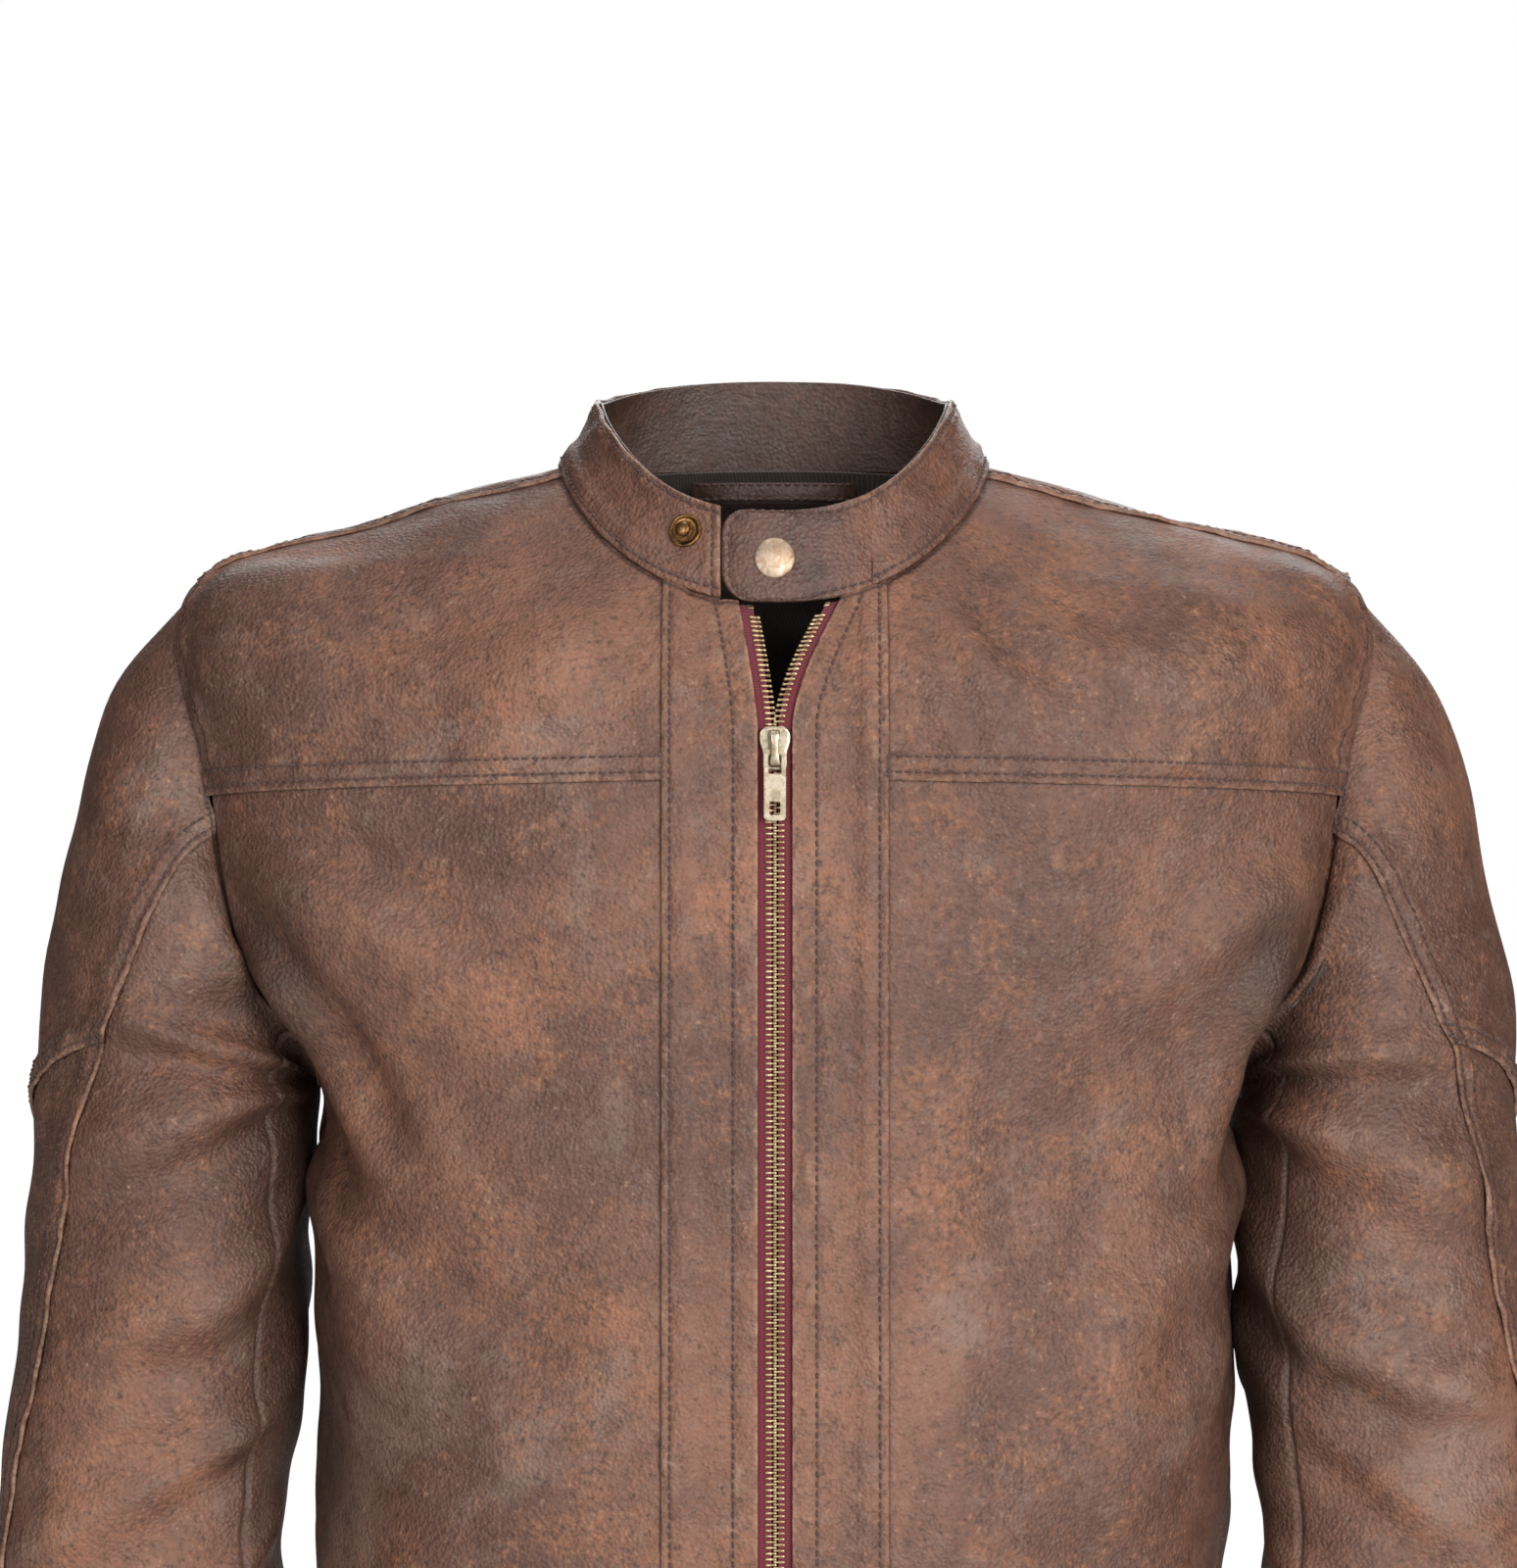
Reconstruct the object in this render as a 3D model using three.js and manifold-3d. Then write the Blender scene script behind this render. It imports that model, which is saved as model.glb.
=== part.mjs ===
// A band-collar leather riding jacket in its worn shape, as separate sewn and fitted pieces.
// Millimetres. +X is the wearer's left, -Y the front, +Z up.
// The origin is the middle of the neck opening, level with the neck points of the shoulder seams.
// Every body piece lies on one torso surface and every sleeve piece on one sleeve surface, so a
// piece is a patch of that surface thickened between two depths under it.
import * as THREE from "three";
import { mergeVertices } from "three/addons/utils/BufferGeometryUtils.js";
import Module from "manifold-3d";

// ---- Driving dimensions -------------------------------------------------------------------

// Body
const bodyLength = 660; // neck point down to the hem
const armholeDepth = 240; // neck point down to the underarm
const hemHalf = 178; // half widths
const waistHalf = 170;
const chestHalf = 174;
const shoulderHalf = 218; // origin to the shoulder tip
const shoulderDrop = 44;
const hemReach = 124; // how far the front stands forward of the origin
const chestReach = 112;
const hemBackReach = 116; // and the back behind it
const waistBackReach = 106;
const bladeBackReach = 126;
const cornerPower = 0.833; // 1 is an ellipse, lower is squarer

// Neck and collar
const neckHalf = 82;
const neckFrontDrop = 57;
const neckFrontReach = 93;
const neckBackReach = 64;
const neckBackRise = 2;
const collarHeight = 34; // at the front
const collarSideHeight = 26;
const collarBackHeight = 33;
const collarLean = 14; // how much narrower each side is at the top
const collarFrontLean = 6;
const collarEndRight = 20; // where the band ends, beside the zip, wearer's right
const tabRoot = 36; // and on the wearer's left, where the strap starts

// Sleeves
const sleeveLength = 640; // shoulder tip to cuff
const bicepsHalf = 55;
const elbowHalf = 56;
const forearmHalf = 51;
const wristHalf = 46;
const cuffHalf = 43;
const armGap = 3; // between sleeve and body at the underarm
const innerSeamAngle = 140; // round the sleeve from its outer line

// Layers: depth under the outer surface
const leather = 1.4;
const layerGap = 0.4;
const tapeTop = 1.7;
const tapeThick = 0.6;
const facingTop = 2.6;
const facingThick = 1.2;
const hemFacingTop = 1.8;
const hemFacingWidth = 40;
const liningTop = 3.4;
const liningThick = 0.8;
const pocketLiningTop = 7.2; // the lining stands off here to clear the pocket bags
const seamGap = 0.25; // each edge is held back this much from its seam line
const jointGap = 0.8; // and this much at the armhole and neck joints
const sleeveGap = 1.3; // on the sleeve's side of the armhole

// Front opening and placket
const placketEdge = 40;
const facingEdge = 60;
const facingStart = 9; // the facing starts this far from the middle
const facingLead = 3; // and at the V at least this far behind the placket's edge
const slotHalf = 6.3;
const openingRise = 46; // length of the open V above the slider
const openingShiftLeft = 18; // how far the V opens at its top, wearer's left
const openingShiftRight = 7;

// Main zip
const zipBottomRise = 20; // chain end above the hem
const teethInner = 1.0;
const teethOuter = 3.3;
const teethTop = 0.7;
const teethThick = 2.6;
const tapeInner = teethOuter + 0.3;
const placketStep = 9; // from the placket's free edge to its inner stitch line
const tapeOuter = slotHalf + placketStep;
const sliderLength = 16;
const sliderHalfTop = 5.9;
const sliderHalfBottom = 5.2;
const plateThick = 1.1;
const runGap = 0.3; // between the slider's walls and the chain
const bridgeWidth = 4;
const bridgeRise = 4.8;
const bridgeThick = 1.2;
const pullWidth = 8;
const pullLength = 26;
const pullThick = 1.3;
const pullSlot = 7;
const pullWindow = 5;

// Press stud
const capRadius = 7.7;
const capRise = 2.6;
const studRadius = 6.4;
const studBall = 3;
const studNeck = 2.2;
const studRise = 4.2;
const shankRadius = 1.6;
const shankGap = 0.4;
const capX = 0;
const studX = -33;
const postHalf = 4.6; // the stud's washer inside the band
const postThick = 0.9;
const socketHalf = 5.2;
const socketDepth = 2.5;
const capRim = 0.7;
const tabThick = 2.4;
const tabProud = 1.5;
const tabCorner = 10;

// Hand pockets
const pocketTop = { x: 102, z: -440 };
const pocketBottom = { x: 112, z: -575 };
const pocketZipScale = 0.8;
const pocketMargin = 8; // slot end to welt end
const pocketTapeTop = 2.5; // behind the panel, where the tape has stepped back past the slot
const pocketTapeHalf = 9.5;
const pocketTapeRun = 4; // and how far it runs past the ends of the slot
const weltHalf = 11;
const weltProud = 0.6;
const bagHalf = 18;
const bagTop = 4.0;
const bagChannelTop = 5.2; // where the slider runs
const bagBottom = 6.6;

// Inside the back neck
const loopHalf = 32;
const loopBow = 11;
const loopThick = 1.6;
const loopHeight = 8;
const labelHalf = 24;
const labelThick = 0.8;

// ---- Materials ----------------------------------------------------------------------------

const finishes = {
  leather: { color: 0x553a2f, roughness: 0.62, metalness: 0 },
  leatherDark: { color: 0x47302a, roughness: 0.6, metalness: 0 },
  lining: { color: 0x2b2422, roughness: 0.8, metalness: 0 },
  tape: { color: 0x6b1f35, roughness: 0.85, metalness: 0 },
  brass: { color: 0x9a7a4c, roughness: 0.4, metalness: 1 },
  nickel: { color: 0xa39a84, roughness: 0.32, metalness: 1 },
  label: { color: 0x2a1d18, roughness: 0.8, metalness: 0 },
};

const jacket = new THREE.Group();

function addMesh(name, geometry, finish, parent = jacket) {
  const mesh = new THREE.Mesh(geometry, new THREE.MeshStandardMaterial(finishes[finish]));
  mesh.name = name;
  parent.add(mesh);
  return mesh;
}

// ---- Solids -------------------------------------------------------------------------------

const wasm = await Module();
wasm.setup();

function toSolid(geometry) {
  const bare = new THREE.BufferGeometry();
  bare.setAttribute("position", geometry.getAttribute("position"));
  bare.setIndex(geometry.index);
  const merged = mergeVertices(bare, 1e-4);
  return new wasm.Manifold(
    new wasm.Mesh({
      numProp: 3,
      vertProperties: merged.attributes.position.array,
      triVerts: new Uint32Array(merged.index.array),
    }),
  );
}

function toGeometry(solid) {
  const mesh = solid.getMesh();
  const geometry = new THREE.BufferGeometry();
  geometry.setAttribute("position", new THREE.BufferAttribute(mesh.vertProperties, 3));
  geometry.setIndex(new THREE.BufferAttribute(mesh.triVerts, 1));
  return geometry;
}

const unite = (...parts) => toGeometry(parts.map(toSolid).reduce((sum, part) => sum.add(part)));

const cut = (body, ...tools) =>
  toGeometry(tools.map(toSolid).reduce((left, tool) => left.subtract(tool), toSolid(body)));

function box(low, high) {
  const size = high.map((value, axis) => value - low[axis]);
  const middle = high.map((value, axis) => (value + low[axis]) / 2);
  return new THREE.BoxGeometry(...size).translate(...middle);
}

// An outline in X and Z, thickened along Y from y0 to y1.
function plate(shape, y0, y1) {
  const options = { depth: y1 - y0, bevelEnabled: false, curveSegments: 2 };
  return new THREE.ExtrudeGeometry(shape, options).rotateX(Math.PI / 2).translate(0, y1, 0);
}

function roundedRectangle(x0, z0, x1, z1, radius, path = new THREE.Shape()) {
  path.moveTo(x0 + radius, z0);
  path.lineTo(x1 - radius, z0);
  path.absarc(x1 - radius, z0 + radius, radius, -Math.PI / 2, 0);
  path.lineTo(x1, z1 - radius);
  path.absarc(x1 - radius, z1 - radius, radius, 0, Math.PI / 2);
  path.lineTo(x0 + radius, z1);
  path.absarc(x0 + radius, z1 - radius, radius, Math.PI / 2, Math.PI);
  path.lineTo(x0, z0 + radius);
  path.absarc(x0 + radius, z0 + radius, radius, Math.PI, Math.PI * 1.5);
  return path;
}

// A turned piece: [radius, height] points from axis to axis, its height along the outward normal.
function turned(profile, seat, sides = 16) {
  const points = profile.map(([radius, height]) => new THREE.Vector2(radius, height));
  const turn = new THREE.Quaternion().setFromUnitVectors(new THREE.Vector3(0, 1, 0), seat.n);
  return new THREE.LatheGeometry(points, sides).applyQuaternion(turn).translate(seat.p.x, seat.p.y, seat.p.z);
}

// ---- Grids and shells ---------------------------------------------------------------------

const lerp = (a, b, share) => a + (b - a) * share;
const clamp = (value, low, high) => Math.min(high, Math.max(low, value));
const radians = THREE.MathUtils.degToRad;
const steps = (count, from = 0, to = 1) =>
  Array.from({ length: count + 1 }, (_, i) => lerp(from, to, i / count));

// A smooth curve through evenly spaced values, straight on past its ends.
function through(values, at) {
  const last = values.length - 1;
  const i = clamp(Math.floor(at), 0, last - 1);
  const share = at - i;
  const before = i > 0 ? values[i - 1] : 2 * values[0] - values[1];
  const after = i < last - 1 ? values[i + 2] : 2 * values[last] - values[last - 1];
  const [a, b] = [values[i], values[i + 1]];
  const bend = 2 * before - 5 * a + 4 * b - after;
  const twist = 3 * (a - b) + after - before;
  return a + 0.5 * share * (b - before + share * (bend + share * twist));
}

// A surface point with its outward normal, from a function of two numbers.
function framed(surface, a, b) {
  const step = 1e-3;
  const alongA = surface(a + step, b).sub(surface(a - step, b));
  const alongB = surface(a, b + step).sub(surface(a, b - step));
  return { p: surface(a, b), n: alongA.cross(alongB).normalize() };
}

const under = (point, depth) => point.p.clone().addScaledVector(point.n, -depth);
const mirrored = (grid) =>
  grid.map((row) =>
    row.map(({ p, n }) => ({ p: new THREE.Vector3(-p.x, p.y, p.z), n: new THREE.Vector3(-n.x, n.y, n.z) })),
  );

function towards(from, to, distance) {
  const step = to.p.clone().sub(from.p).normalize().multiplyScalar(distance);
  return { p: from.p.clone().add(step), n: from.n };
}

// Holds the edges of a grid back from their seam lines.
function heldBack(grid, { left = 0, right = 0, bottom = 0, top = 0 }) {
  const rows = grid.map((row) => {
    const end = row.length - 1;
    const copy = row.slice();
    copy[0] = towards(row[0], row[1], left);
    copy[end] = towards(row[end], row[end - 1], right);
    return copy;
  });
  const end = rows.length - 1;
  const low = rows[0].map((point, j) => towards(point, rows[1][j], bottom));
  const high = rows[end].map((point, j) => towards(point, rows[end - 1][j], top));
  return [low, ...rows.slice(1, end), high];
}

// Thickens a grid from one depth to another. Depths are numbers or functions of row and column.
function shell(grid, outerDepth, innerDepth, closed = false) {
  const depthAt = (depth, i, j) => (typeof depth === "function" ? depth(i, j) : depth);
  const rows = grid.length;
  const columns = grid[0].length;
  const positions = [];
  for (const depth of [outerDepth, innerDepth]) {
    for (let i = 0; i < rows; i += 1) {
      for (let j = 0; j < columns; j += 1) positions.push(...under(grid[i][j], depthAt(depth, i, j)));
    }
  }
  const at = (layer, i, j) => layer * rows * columns + i * columns + (j % columns);
  const faces = [];
  const quad = (a, b, c, d) => faces.push(a, b, c, a, c, d);
  const lastColumn = closed ? columns : columns - 1;
  for (let i = 0; i < rows - 1; i += 1) {
    for (let j = 0; j < lastColumn; j += 1) {
      quad(at(0, i, j), at(0, i, j + 1), at(0, i + 1, j + 1), at(0, i + 1, j));
      quad(at(1, i, j), at(1, i + 1, j), at(1, i + 1, j + 1), at(1, i, j + 1));
    }
    if (closed) continue;
    quad(at(0, i, 0), at(0, i + 1, 0), at(1, i + 1, 0), at(1, i, 0));
    quad(at(0, i, lastColumn), at(1, i, lastColumn), at(1, i + 1, lastColumn), at(0, i + 1, lastColumn));
  }
  for (let j = 0; j < lastColumn; j += 1) {
    quad(at(0, 0, j), at(1, 0, j), at(1, 0, j + 1), at(0, 0, j + 1));
    quad(at(0, rows - 1, j), at(0, rows - 1, j + 1), at(1, rows - 1, j + 1), at(1, rows - 1, j));
  }
  return facingOut(positions, faces);
}

function facingOut(positions, faces) {
  const corner = (index) => new THREE.Vector3().fromArray(positions, index * 3);
  let volume = 0;
  for (let f = 0; f < faces.length; f += 3)
    volume += corner(faces[f]).dot(corner(faces[f + 1]).cross(corner(faces[f + 2])));
  const geometry = new THREE.BufferGeometry();
  geometry.setAttribute("position", new THREE.Float32BufferAttribute(positions, 3));
  geometry.setIndex(volume > 0 ? faces : faces.slice().reverse());
  return geometry;
}

// ---- Torso surface ------------------------------------------------------------------------

const straightTop = -(neckFrontDrop + openingRise); // the front is straight from here to the hem
const frontSlope = (hemReach - chestReach) / (bodyLength + straightTop);
const neckCurve = (() => {
  const straightAtNeck = chestReach - frontSlope * openingRise;
  return (straightAtNeck - neckFrontReach) / openingRise ** 2;
})();

function frontY(z) {
  const above = z - straightTop;
  return -chestReach + frontSlope * above + (above > 0 ? neckCurve * above ** 2 : 0);
}

const belowArm = (share) => -armholeDepth - share * (bodyLength - armholeDepth);
const besideArm = (share) => -shoulderDrop - share * (armholeDepth - shoulderDrop);
const level = (half, z, middle, back) => ({ half, side: z, front: z, rear: z, middle, back });
const sloping = (half, side, frontRise, rearRise, middle, back) => ({
  half,
  side,
  front: side + frontRise,
  rear: side + rearRise,
  middle,
  back,
});

// Rings of the torso from the hem up to the neck seam. Above the underarm the front and the back
// of a ring lie lower or higher than its sides.
const torsoRings = [
  level(hemHalf, belowArm(1), -3, hemBackReach),
  level((hemHalf + waistHalf) / 2, belowArm(0.757), -3, hemBackReach - 4),
  level(waistHalf, belowArm(0.524), -3, waistBackReach),
  level(chestHalf, belowArm(0.24), -2, bladeBackReach - 13),
  level(chestHalf, belowArm(0), 0, bladeBackReach - 3),
  sloping(shoulderHalf - 6, besideArm(0.745), 5, 5, 2, bladeBackReach),
  sloping(shoulderHalf + 8, besideArm(0.362), -6, 5, 4, bladeBackReach - 5),
  sloping(shoulderHalf, besideArm(0), shoulderDrop - neckFrontDrop - 29, -1, 5, neckBackReach + 34),
  sloping(neckHalf, -2, 2 - neckFrontDrop, 2 + neckBackRise, 0, neckBackReach),
];
const yokeRow = 6;
const neckRow = 8;
const underarmRow = 4;

const ringValue = (key, t) => through(torsoRings.map((ring) => ring[key]), t);

function ringPoint({ half, side, front, rear, middle, back, reach }, theta) {
  const angle = radians(theta);
  const [sine, cosine] = [Math.sin(angle), Math.cos(angle)];
  const spread = Math.abs(cosine) ** cornerPower;
  const x = half * Math.sign(sine) * Math.abs(sine) ** cornerPower;
  const y = cosine > 0 ? middle - (middle + reach) * spread : middle + (back - middle) * spread;
  const z = side + ((cosine > 0 ? front : rear) - side) * Math.abs(cosine) ** 1.5;
  return new THREE.Vector3(x, y, z);
}

function torsoRing(t) {
  const ring = {};
  for (const key of Object.keys(torsoRings[0])) ring[key] = ringValue(key, t);
  ring.reach = -frontY(ring.front);
  return ring;
}

// theta runs round the body: 0 front, 90 wearer's left, 180 back. t runs up the rings.
const torso = (theta, t) => ringPoint(torsoRing(t), theta);
const thetaAt = (x, half) => THREE.MathUtils.radToDeg(Math.asin((x / half) ** (1 / cornerPower)));
const torsoThetaAt = (x, t) => thetaAt(x, ringValue("half", t));
const torsoAtX = (x, t) => torso(torsoThetaAt(x, t), t);
const onTorso = (theta, t) => framed(torso, theta, t);
const onTorsoAtX = (x, t) => framed(torsoAtX, x, t);

// The ring whose front lies at height z.
function rowAtFront(z) {
  let [low, high] = [0, neckRow];
  for (let i = 0; i < 40; i += 1) {
    const middle = (low + high) / 2;
    if (ringValue("front", middle) < z) low = middle;
    else high = middle;
  }
  return low;
}

// ---- Seam lines on the torso --------------------------------------------------------------

// The armhole: phi 0 at the shoulder tip, 90 front, 180 underarm, 270 back.
const armholeFront = 21;
const armholeBack = 25;
const armholeMiddle = (underarmRow + 7) / 2;
function armhole(phi) {
  const [sine, cosine] = [Math.sin(radians(phi)), Math.cos(radians(phi))];
  const width = sine > 0 ? -armholeFront * sine : -armholeBack * sine;
  return [90 + width, armholeMiddle + (7 - armholeMiddle) * cosine];
}
const yokeDip = 0.15; // the yoke seams fall this much of a ring at the armhole
const yokePhi = THREE.MathUtils.radToDeg(
  Math.acos((yokeRow - yokeDip - armholeMiddle) / (7 - armholeMiddle)),
);
const shoulderPhi = 16;
const tipLevel = 7.25; // the back yoke's ring that comes out at the shoulder tip
const neckPoint = [78, neckRow];

const straightRow = rowAtFront(straightTop);
const hemFacingRow = rowAtFront(-bodyLength + hemFacingWidth);
const sideRows = [0, hemFacingRow, 1, 2, 3, underarmRow];
const armRows = steps(6).slice(1);
const panelRows = [...sideRows, ...armRows.map((share) => lerp(underarmRow, yokeRow, share))];
const yokeRows = [yokeRow, straightRow, 7, 7.5, neckRow];
const neckSteps = 5;

const between = (from, to, share) => [lerp(from[0], to[0], share), lerp(from[1], to[1], share)];

// Rows of a front piece as [from, to] pairs of torso coordinates, from the placket to the side.
function frontPanelRows(edge, rows = panelRows) {
  return rows.map((t) => {
    const share = (t - underarmRow) / (yokeRow - underarmRow);
    const to = t <= underarmRow ? [90, t] : armhole(lerp(180, yokePhi, share));
    return [[torsoThetaAt(edge, t), t], to];
  });
}

function frontYokeRows(edge) {
  const corner = torsoThetaAt(edge, neckRow);
  const rising = yokeRows.map((t) => [torsoThetaAt(edge, t), t]);
  const neck = steps(neckSteps).slice(1);
  const from = [...rising, ...neck.map((share) => [lerp(corner, neckPoint[0], share), neckRow])];
  return from.map((start, i) => [start, armhole(lerp(yokePhi, shoulderPhi, i / (from.length - 1)))]);
}

const acrossFront = 10;
const acrossYoke = 6;
const acrossBack = 12;
const opposite = ([theta, t]) => [360 - theta, t];

function backPanelRows() {
  const side = sideRows.map((t) => [90, t]);
  const arm = armRows.map((share) => armhole(lerp(180, 360 - yokePhi, share)));
  return [...side, ...arm].map((point) => [point, opposite(point)]);
}

// Between its edges each row of the back yoke runs level, on a ring of its own.
function backYokeRows() {
  const shares = steps(6);
  const arm = shares.map((share) => armhole(lerp(360 - yokePhi, 360 + shoulderPhi, share)));
  const tip = arm[arm.length - 1];
  const seam = steps(acrossYoke).slice(1).map((share) => between(tip, neckPoint, share));
  const armLevels = shares.map((share) => lerp(arm[0][1], tipLevel, share));
  const seamLevels = steps(acrossYoke, tipLevel, neckRow).slice(1);
  const levels = [...armLevels, ...seamLevels];
  return [...arm, ...seam].map((point, i) => [point, opposite(point), levels[i]]);
}

// A grid across rows of [from, to] pairs. Columns are a count or a list of shares.
function ruled(rows, columns) {
  const shares = Array.isArray(columns) ? columns : steps(columns);
  return rows.map(([from, to, inner]) =>
    shares.map((share) => {
      const [theta, t] = between(from, to, share);
      const inside = inner !== undefined && share > 0 && share < 1;
      return onTorso(theta, inside ? inner : t);
    }),
  );
}

// ---- Front opening ------------------------------------------------------------------------

function openingShift(t, side) {
  const share = clamp((ringValue("front", t) - straightTop) / openingRise, 0, 1);
  return side > 0 ? openingShiftLeft * share ** 1.6 : openingShiftRight * share ** 1.3;
}

// A strip beside the front opening, between two distances from the middle.
function frontStrip(rows, columnsAt, side) {
  const grid = rows.map((t) => columnsAt(openingShift(t, side)).map((x) => onTorsoAtX(x, t)));
  return side > 0 ? grid : mirrored(grid);
}

const frontRows = [...panelRows, ...yokeRows.slice(1)];
const sides = [
  ["l", 1],
  ["r", -1],
];

function bodyPanels() {
  const seams = { left: seamGap, right: seamGap, bottom: seamGap, top: seamGap };
  for (const [suffix, side] of sides) {
    const turn = side > 0 ? (grid) => grid : mirrored;
    const panel = heldBack(ruled(frontPanelRows(placketEdge), acrossFront), {
      ...seams,
      right: jointGap,
      bottom: 0,
    });
    addMesh(`front_panel_${suffix}`, withPocketSlot(shell(turn(panel), 0, leather), side), "leather");
    const yoke = heldBack(ruled(frontYokeRows(placketEdge), acrossYoke), {
      ...seams,
      left: seamGap,
      right: jointGap,
    });
    addMesh(`front_yoke_${suffix}`, shell(turn(yokeAtNeck(yoke)), 0, leather), "leather");
    const across = (shift) => [slotHalf + shift, tapeOuter + shift, placketEdge];
    const placket = frontStrip(frontRows, across, side);
    const trimmed = heldBack(placket, { right: seamGap, top: jointGap });
    addMesh(`placket_${suffix}`, shell(trimmed, 0, leather), "leather");
  }
  const panel = heldBack(ruled(backPanelRows(), acrossBack), {
    left: jointGap,
    right: jointGap,
    top: seamGap,
  });
  addMesh("back_panel", shell(panel, 0, leather), "leather");
  const yoke = heldBack(ruled(backYokeRows(), acrossBack), {
    left: jointGap,
    right: jointGap,
    bottom: seamGap,
    top: jointGap,
  });
  addMesh("back_yoke", shell(yoke, 0, leather), "leather");
}

// The part of a front yoke's inner edge that runs along the neck keeps the neck joint's gap.
function yokeAtNeck(grid) {
  return grid.map((row, i) => {
    if (i < yokeRows.length - 1) return row;
    return [towards(row[0], row[1], jointGap - seamGap), ...row.slice(1)];
  });
}

// ---- Sleeve surface -----------------------------------------------------------------------

const upperMiddle = 6;
const sleeveLevel = (share) => -shoulderDrop - share * sleeveLength;

// Rings of the sleeve below the armhole: its outer and inner point, depth and the angle of the
// seam between the outer panels and the front panel.
function sleeveRing(outerX, outerZ, innerX, innerZ, middle, depthHalf, edge) {
  const centre = new THREE.Vector3((outerX + innerX) / 2, middle, (outerZ + innerZ) / 2);
  const outward = new THREE.Vector3((outerX - innerX) / 2, 0, (outerZ - innerZ) / 2);
  return { centre, outward, depthHalf, edge };
}

// Below it: half width, gap to the body, share of the sleeve's length, how far the ring tilts,
// its middle, half depth and seam angle.
function hangingRing(half, gap, share, tilt, middle, depthHalf, edge) {
  const inner = chestHalf + armGap + gap;
  const z = sleeveLevel(share);
  return sleeveRing(inner + 2 * half, z + tilt, inner, z - tilt, middle, depthHalf, edge);
}

// Beside the armhole: how far outside the shoulder tip, share of the armhole's depth, height of
// the inner point over the underarm, half depth and seam angle.
const upperRing = (out, share, innerRise, depthHalf, edge) =>
  sleeveRing(
    shoulderHalf + out,
    besideArm(share),
    chestHalf + armGap,
    innerRise - armholeDepth,
    upperMiddle,
    depthHalf,
    edge,
  );

const sleeveRings = [
  { edge: 84 },
  upperRing(40, 0.26, 3, 62, 80),
  upperRing(61, 0.694, -2, 63, 70),
  upperRing(67, 1.0255, -25, 62, 56),
  hangingRing(bicepsHalf, 4, 0.4625, 5, 4, 60, 42),
  hangingRing(elbowHalf, 11, 0.556, 4, 5, 57, 38),
  hangingRing(forearmHalf, 24, 0.72, 3, -12, 54, 36),
  hangingRing(wristHalf, 35, 0.869, 2, -38, 48, 34),
  hangingRing(cuffHalf, 42, 0.975, 2, -58, 45, 32),
];

function sleeveRingPoint(k, phi) {
  if (k === 0) return torso(...armhole(phi));
  const { centre, outward, depthHalf } = sleeveRings[k];
  const angle = radians(phi);
  return centre
    .clone()
    .addScaledVector(outward, Math.cos(angle))
    .add(new THREE.Vector3(0, -depthHalf * Math.sin(angle), 0));
}

// phi runs round the sleeve as it does round the armhole, s down the rings to the cuff.
function sleeve(phi, s) {
  const first = clamp(Math.floor(s) - 1, 0, sleeveRings.length - 1);
  const last = clamp(Math.floor(s) + 2, 0, sleeveRings.length - 1);
  const points = [];
  for (let k = first; k <= last; k += 1) points.push(sleeveRingPoint(k, phi));
  const along = (axis) => through(points.map((point) => point[axis]), s - first);
  return new THREE.Vector3(along("x"), along("y"), along("z"));
}

const onSleeve = (phi, s) => framed(sleeve, phi, s);
const capSide = 2.45; // where the shoulder cap ends at its side seams
const capTip = 3.1; // and at its point on the outer line
const cuffRow = 8;
const cuffFacingRow = 7.6;
const sleeveRows = [0, 0.6, 1.2, 1.8, capSide, 3.2, 4, 5, 6, 7, cuffFacingRow, cuffRow];
const capRow = sleeveRows.indexOf(capSide);
const [outerColumns, frontColumns, backColumns] = [8, 4, 8];

// Rows bend down to the cap's point across the outer panels.
function bentRow(s, share) {
  const end = lerp(capSide, capTip, 1 - Math.abs(2 * share - 1));
  if (s <= capSide) return (s * end) / capSide;
  return lerp(end, cuffRow, (s - capSide) / (cuffRow - capSide));
}

function sleeveRow(s) {
  const edge = through(sleeveRings.map((ring) => ring.edge), s);
  const outer = steps(outerColumns).map((share) => onSleeve(lerp(-edge, edge, share), bentRow(s, share)));
  const front = steps(frontColumns, edge, innerSeamAngle).slice(1);
  const back = steps(backColumns, innerSeamAngle, 360 - edge).slice(1);
  return [...outer, ...[...front, ...back].map((phi) => onSleeve(phi, s))];
}

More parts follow.
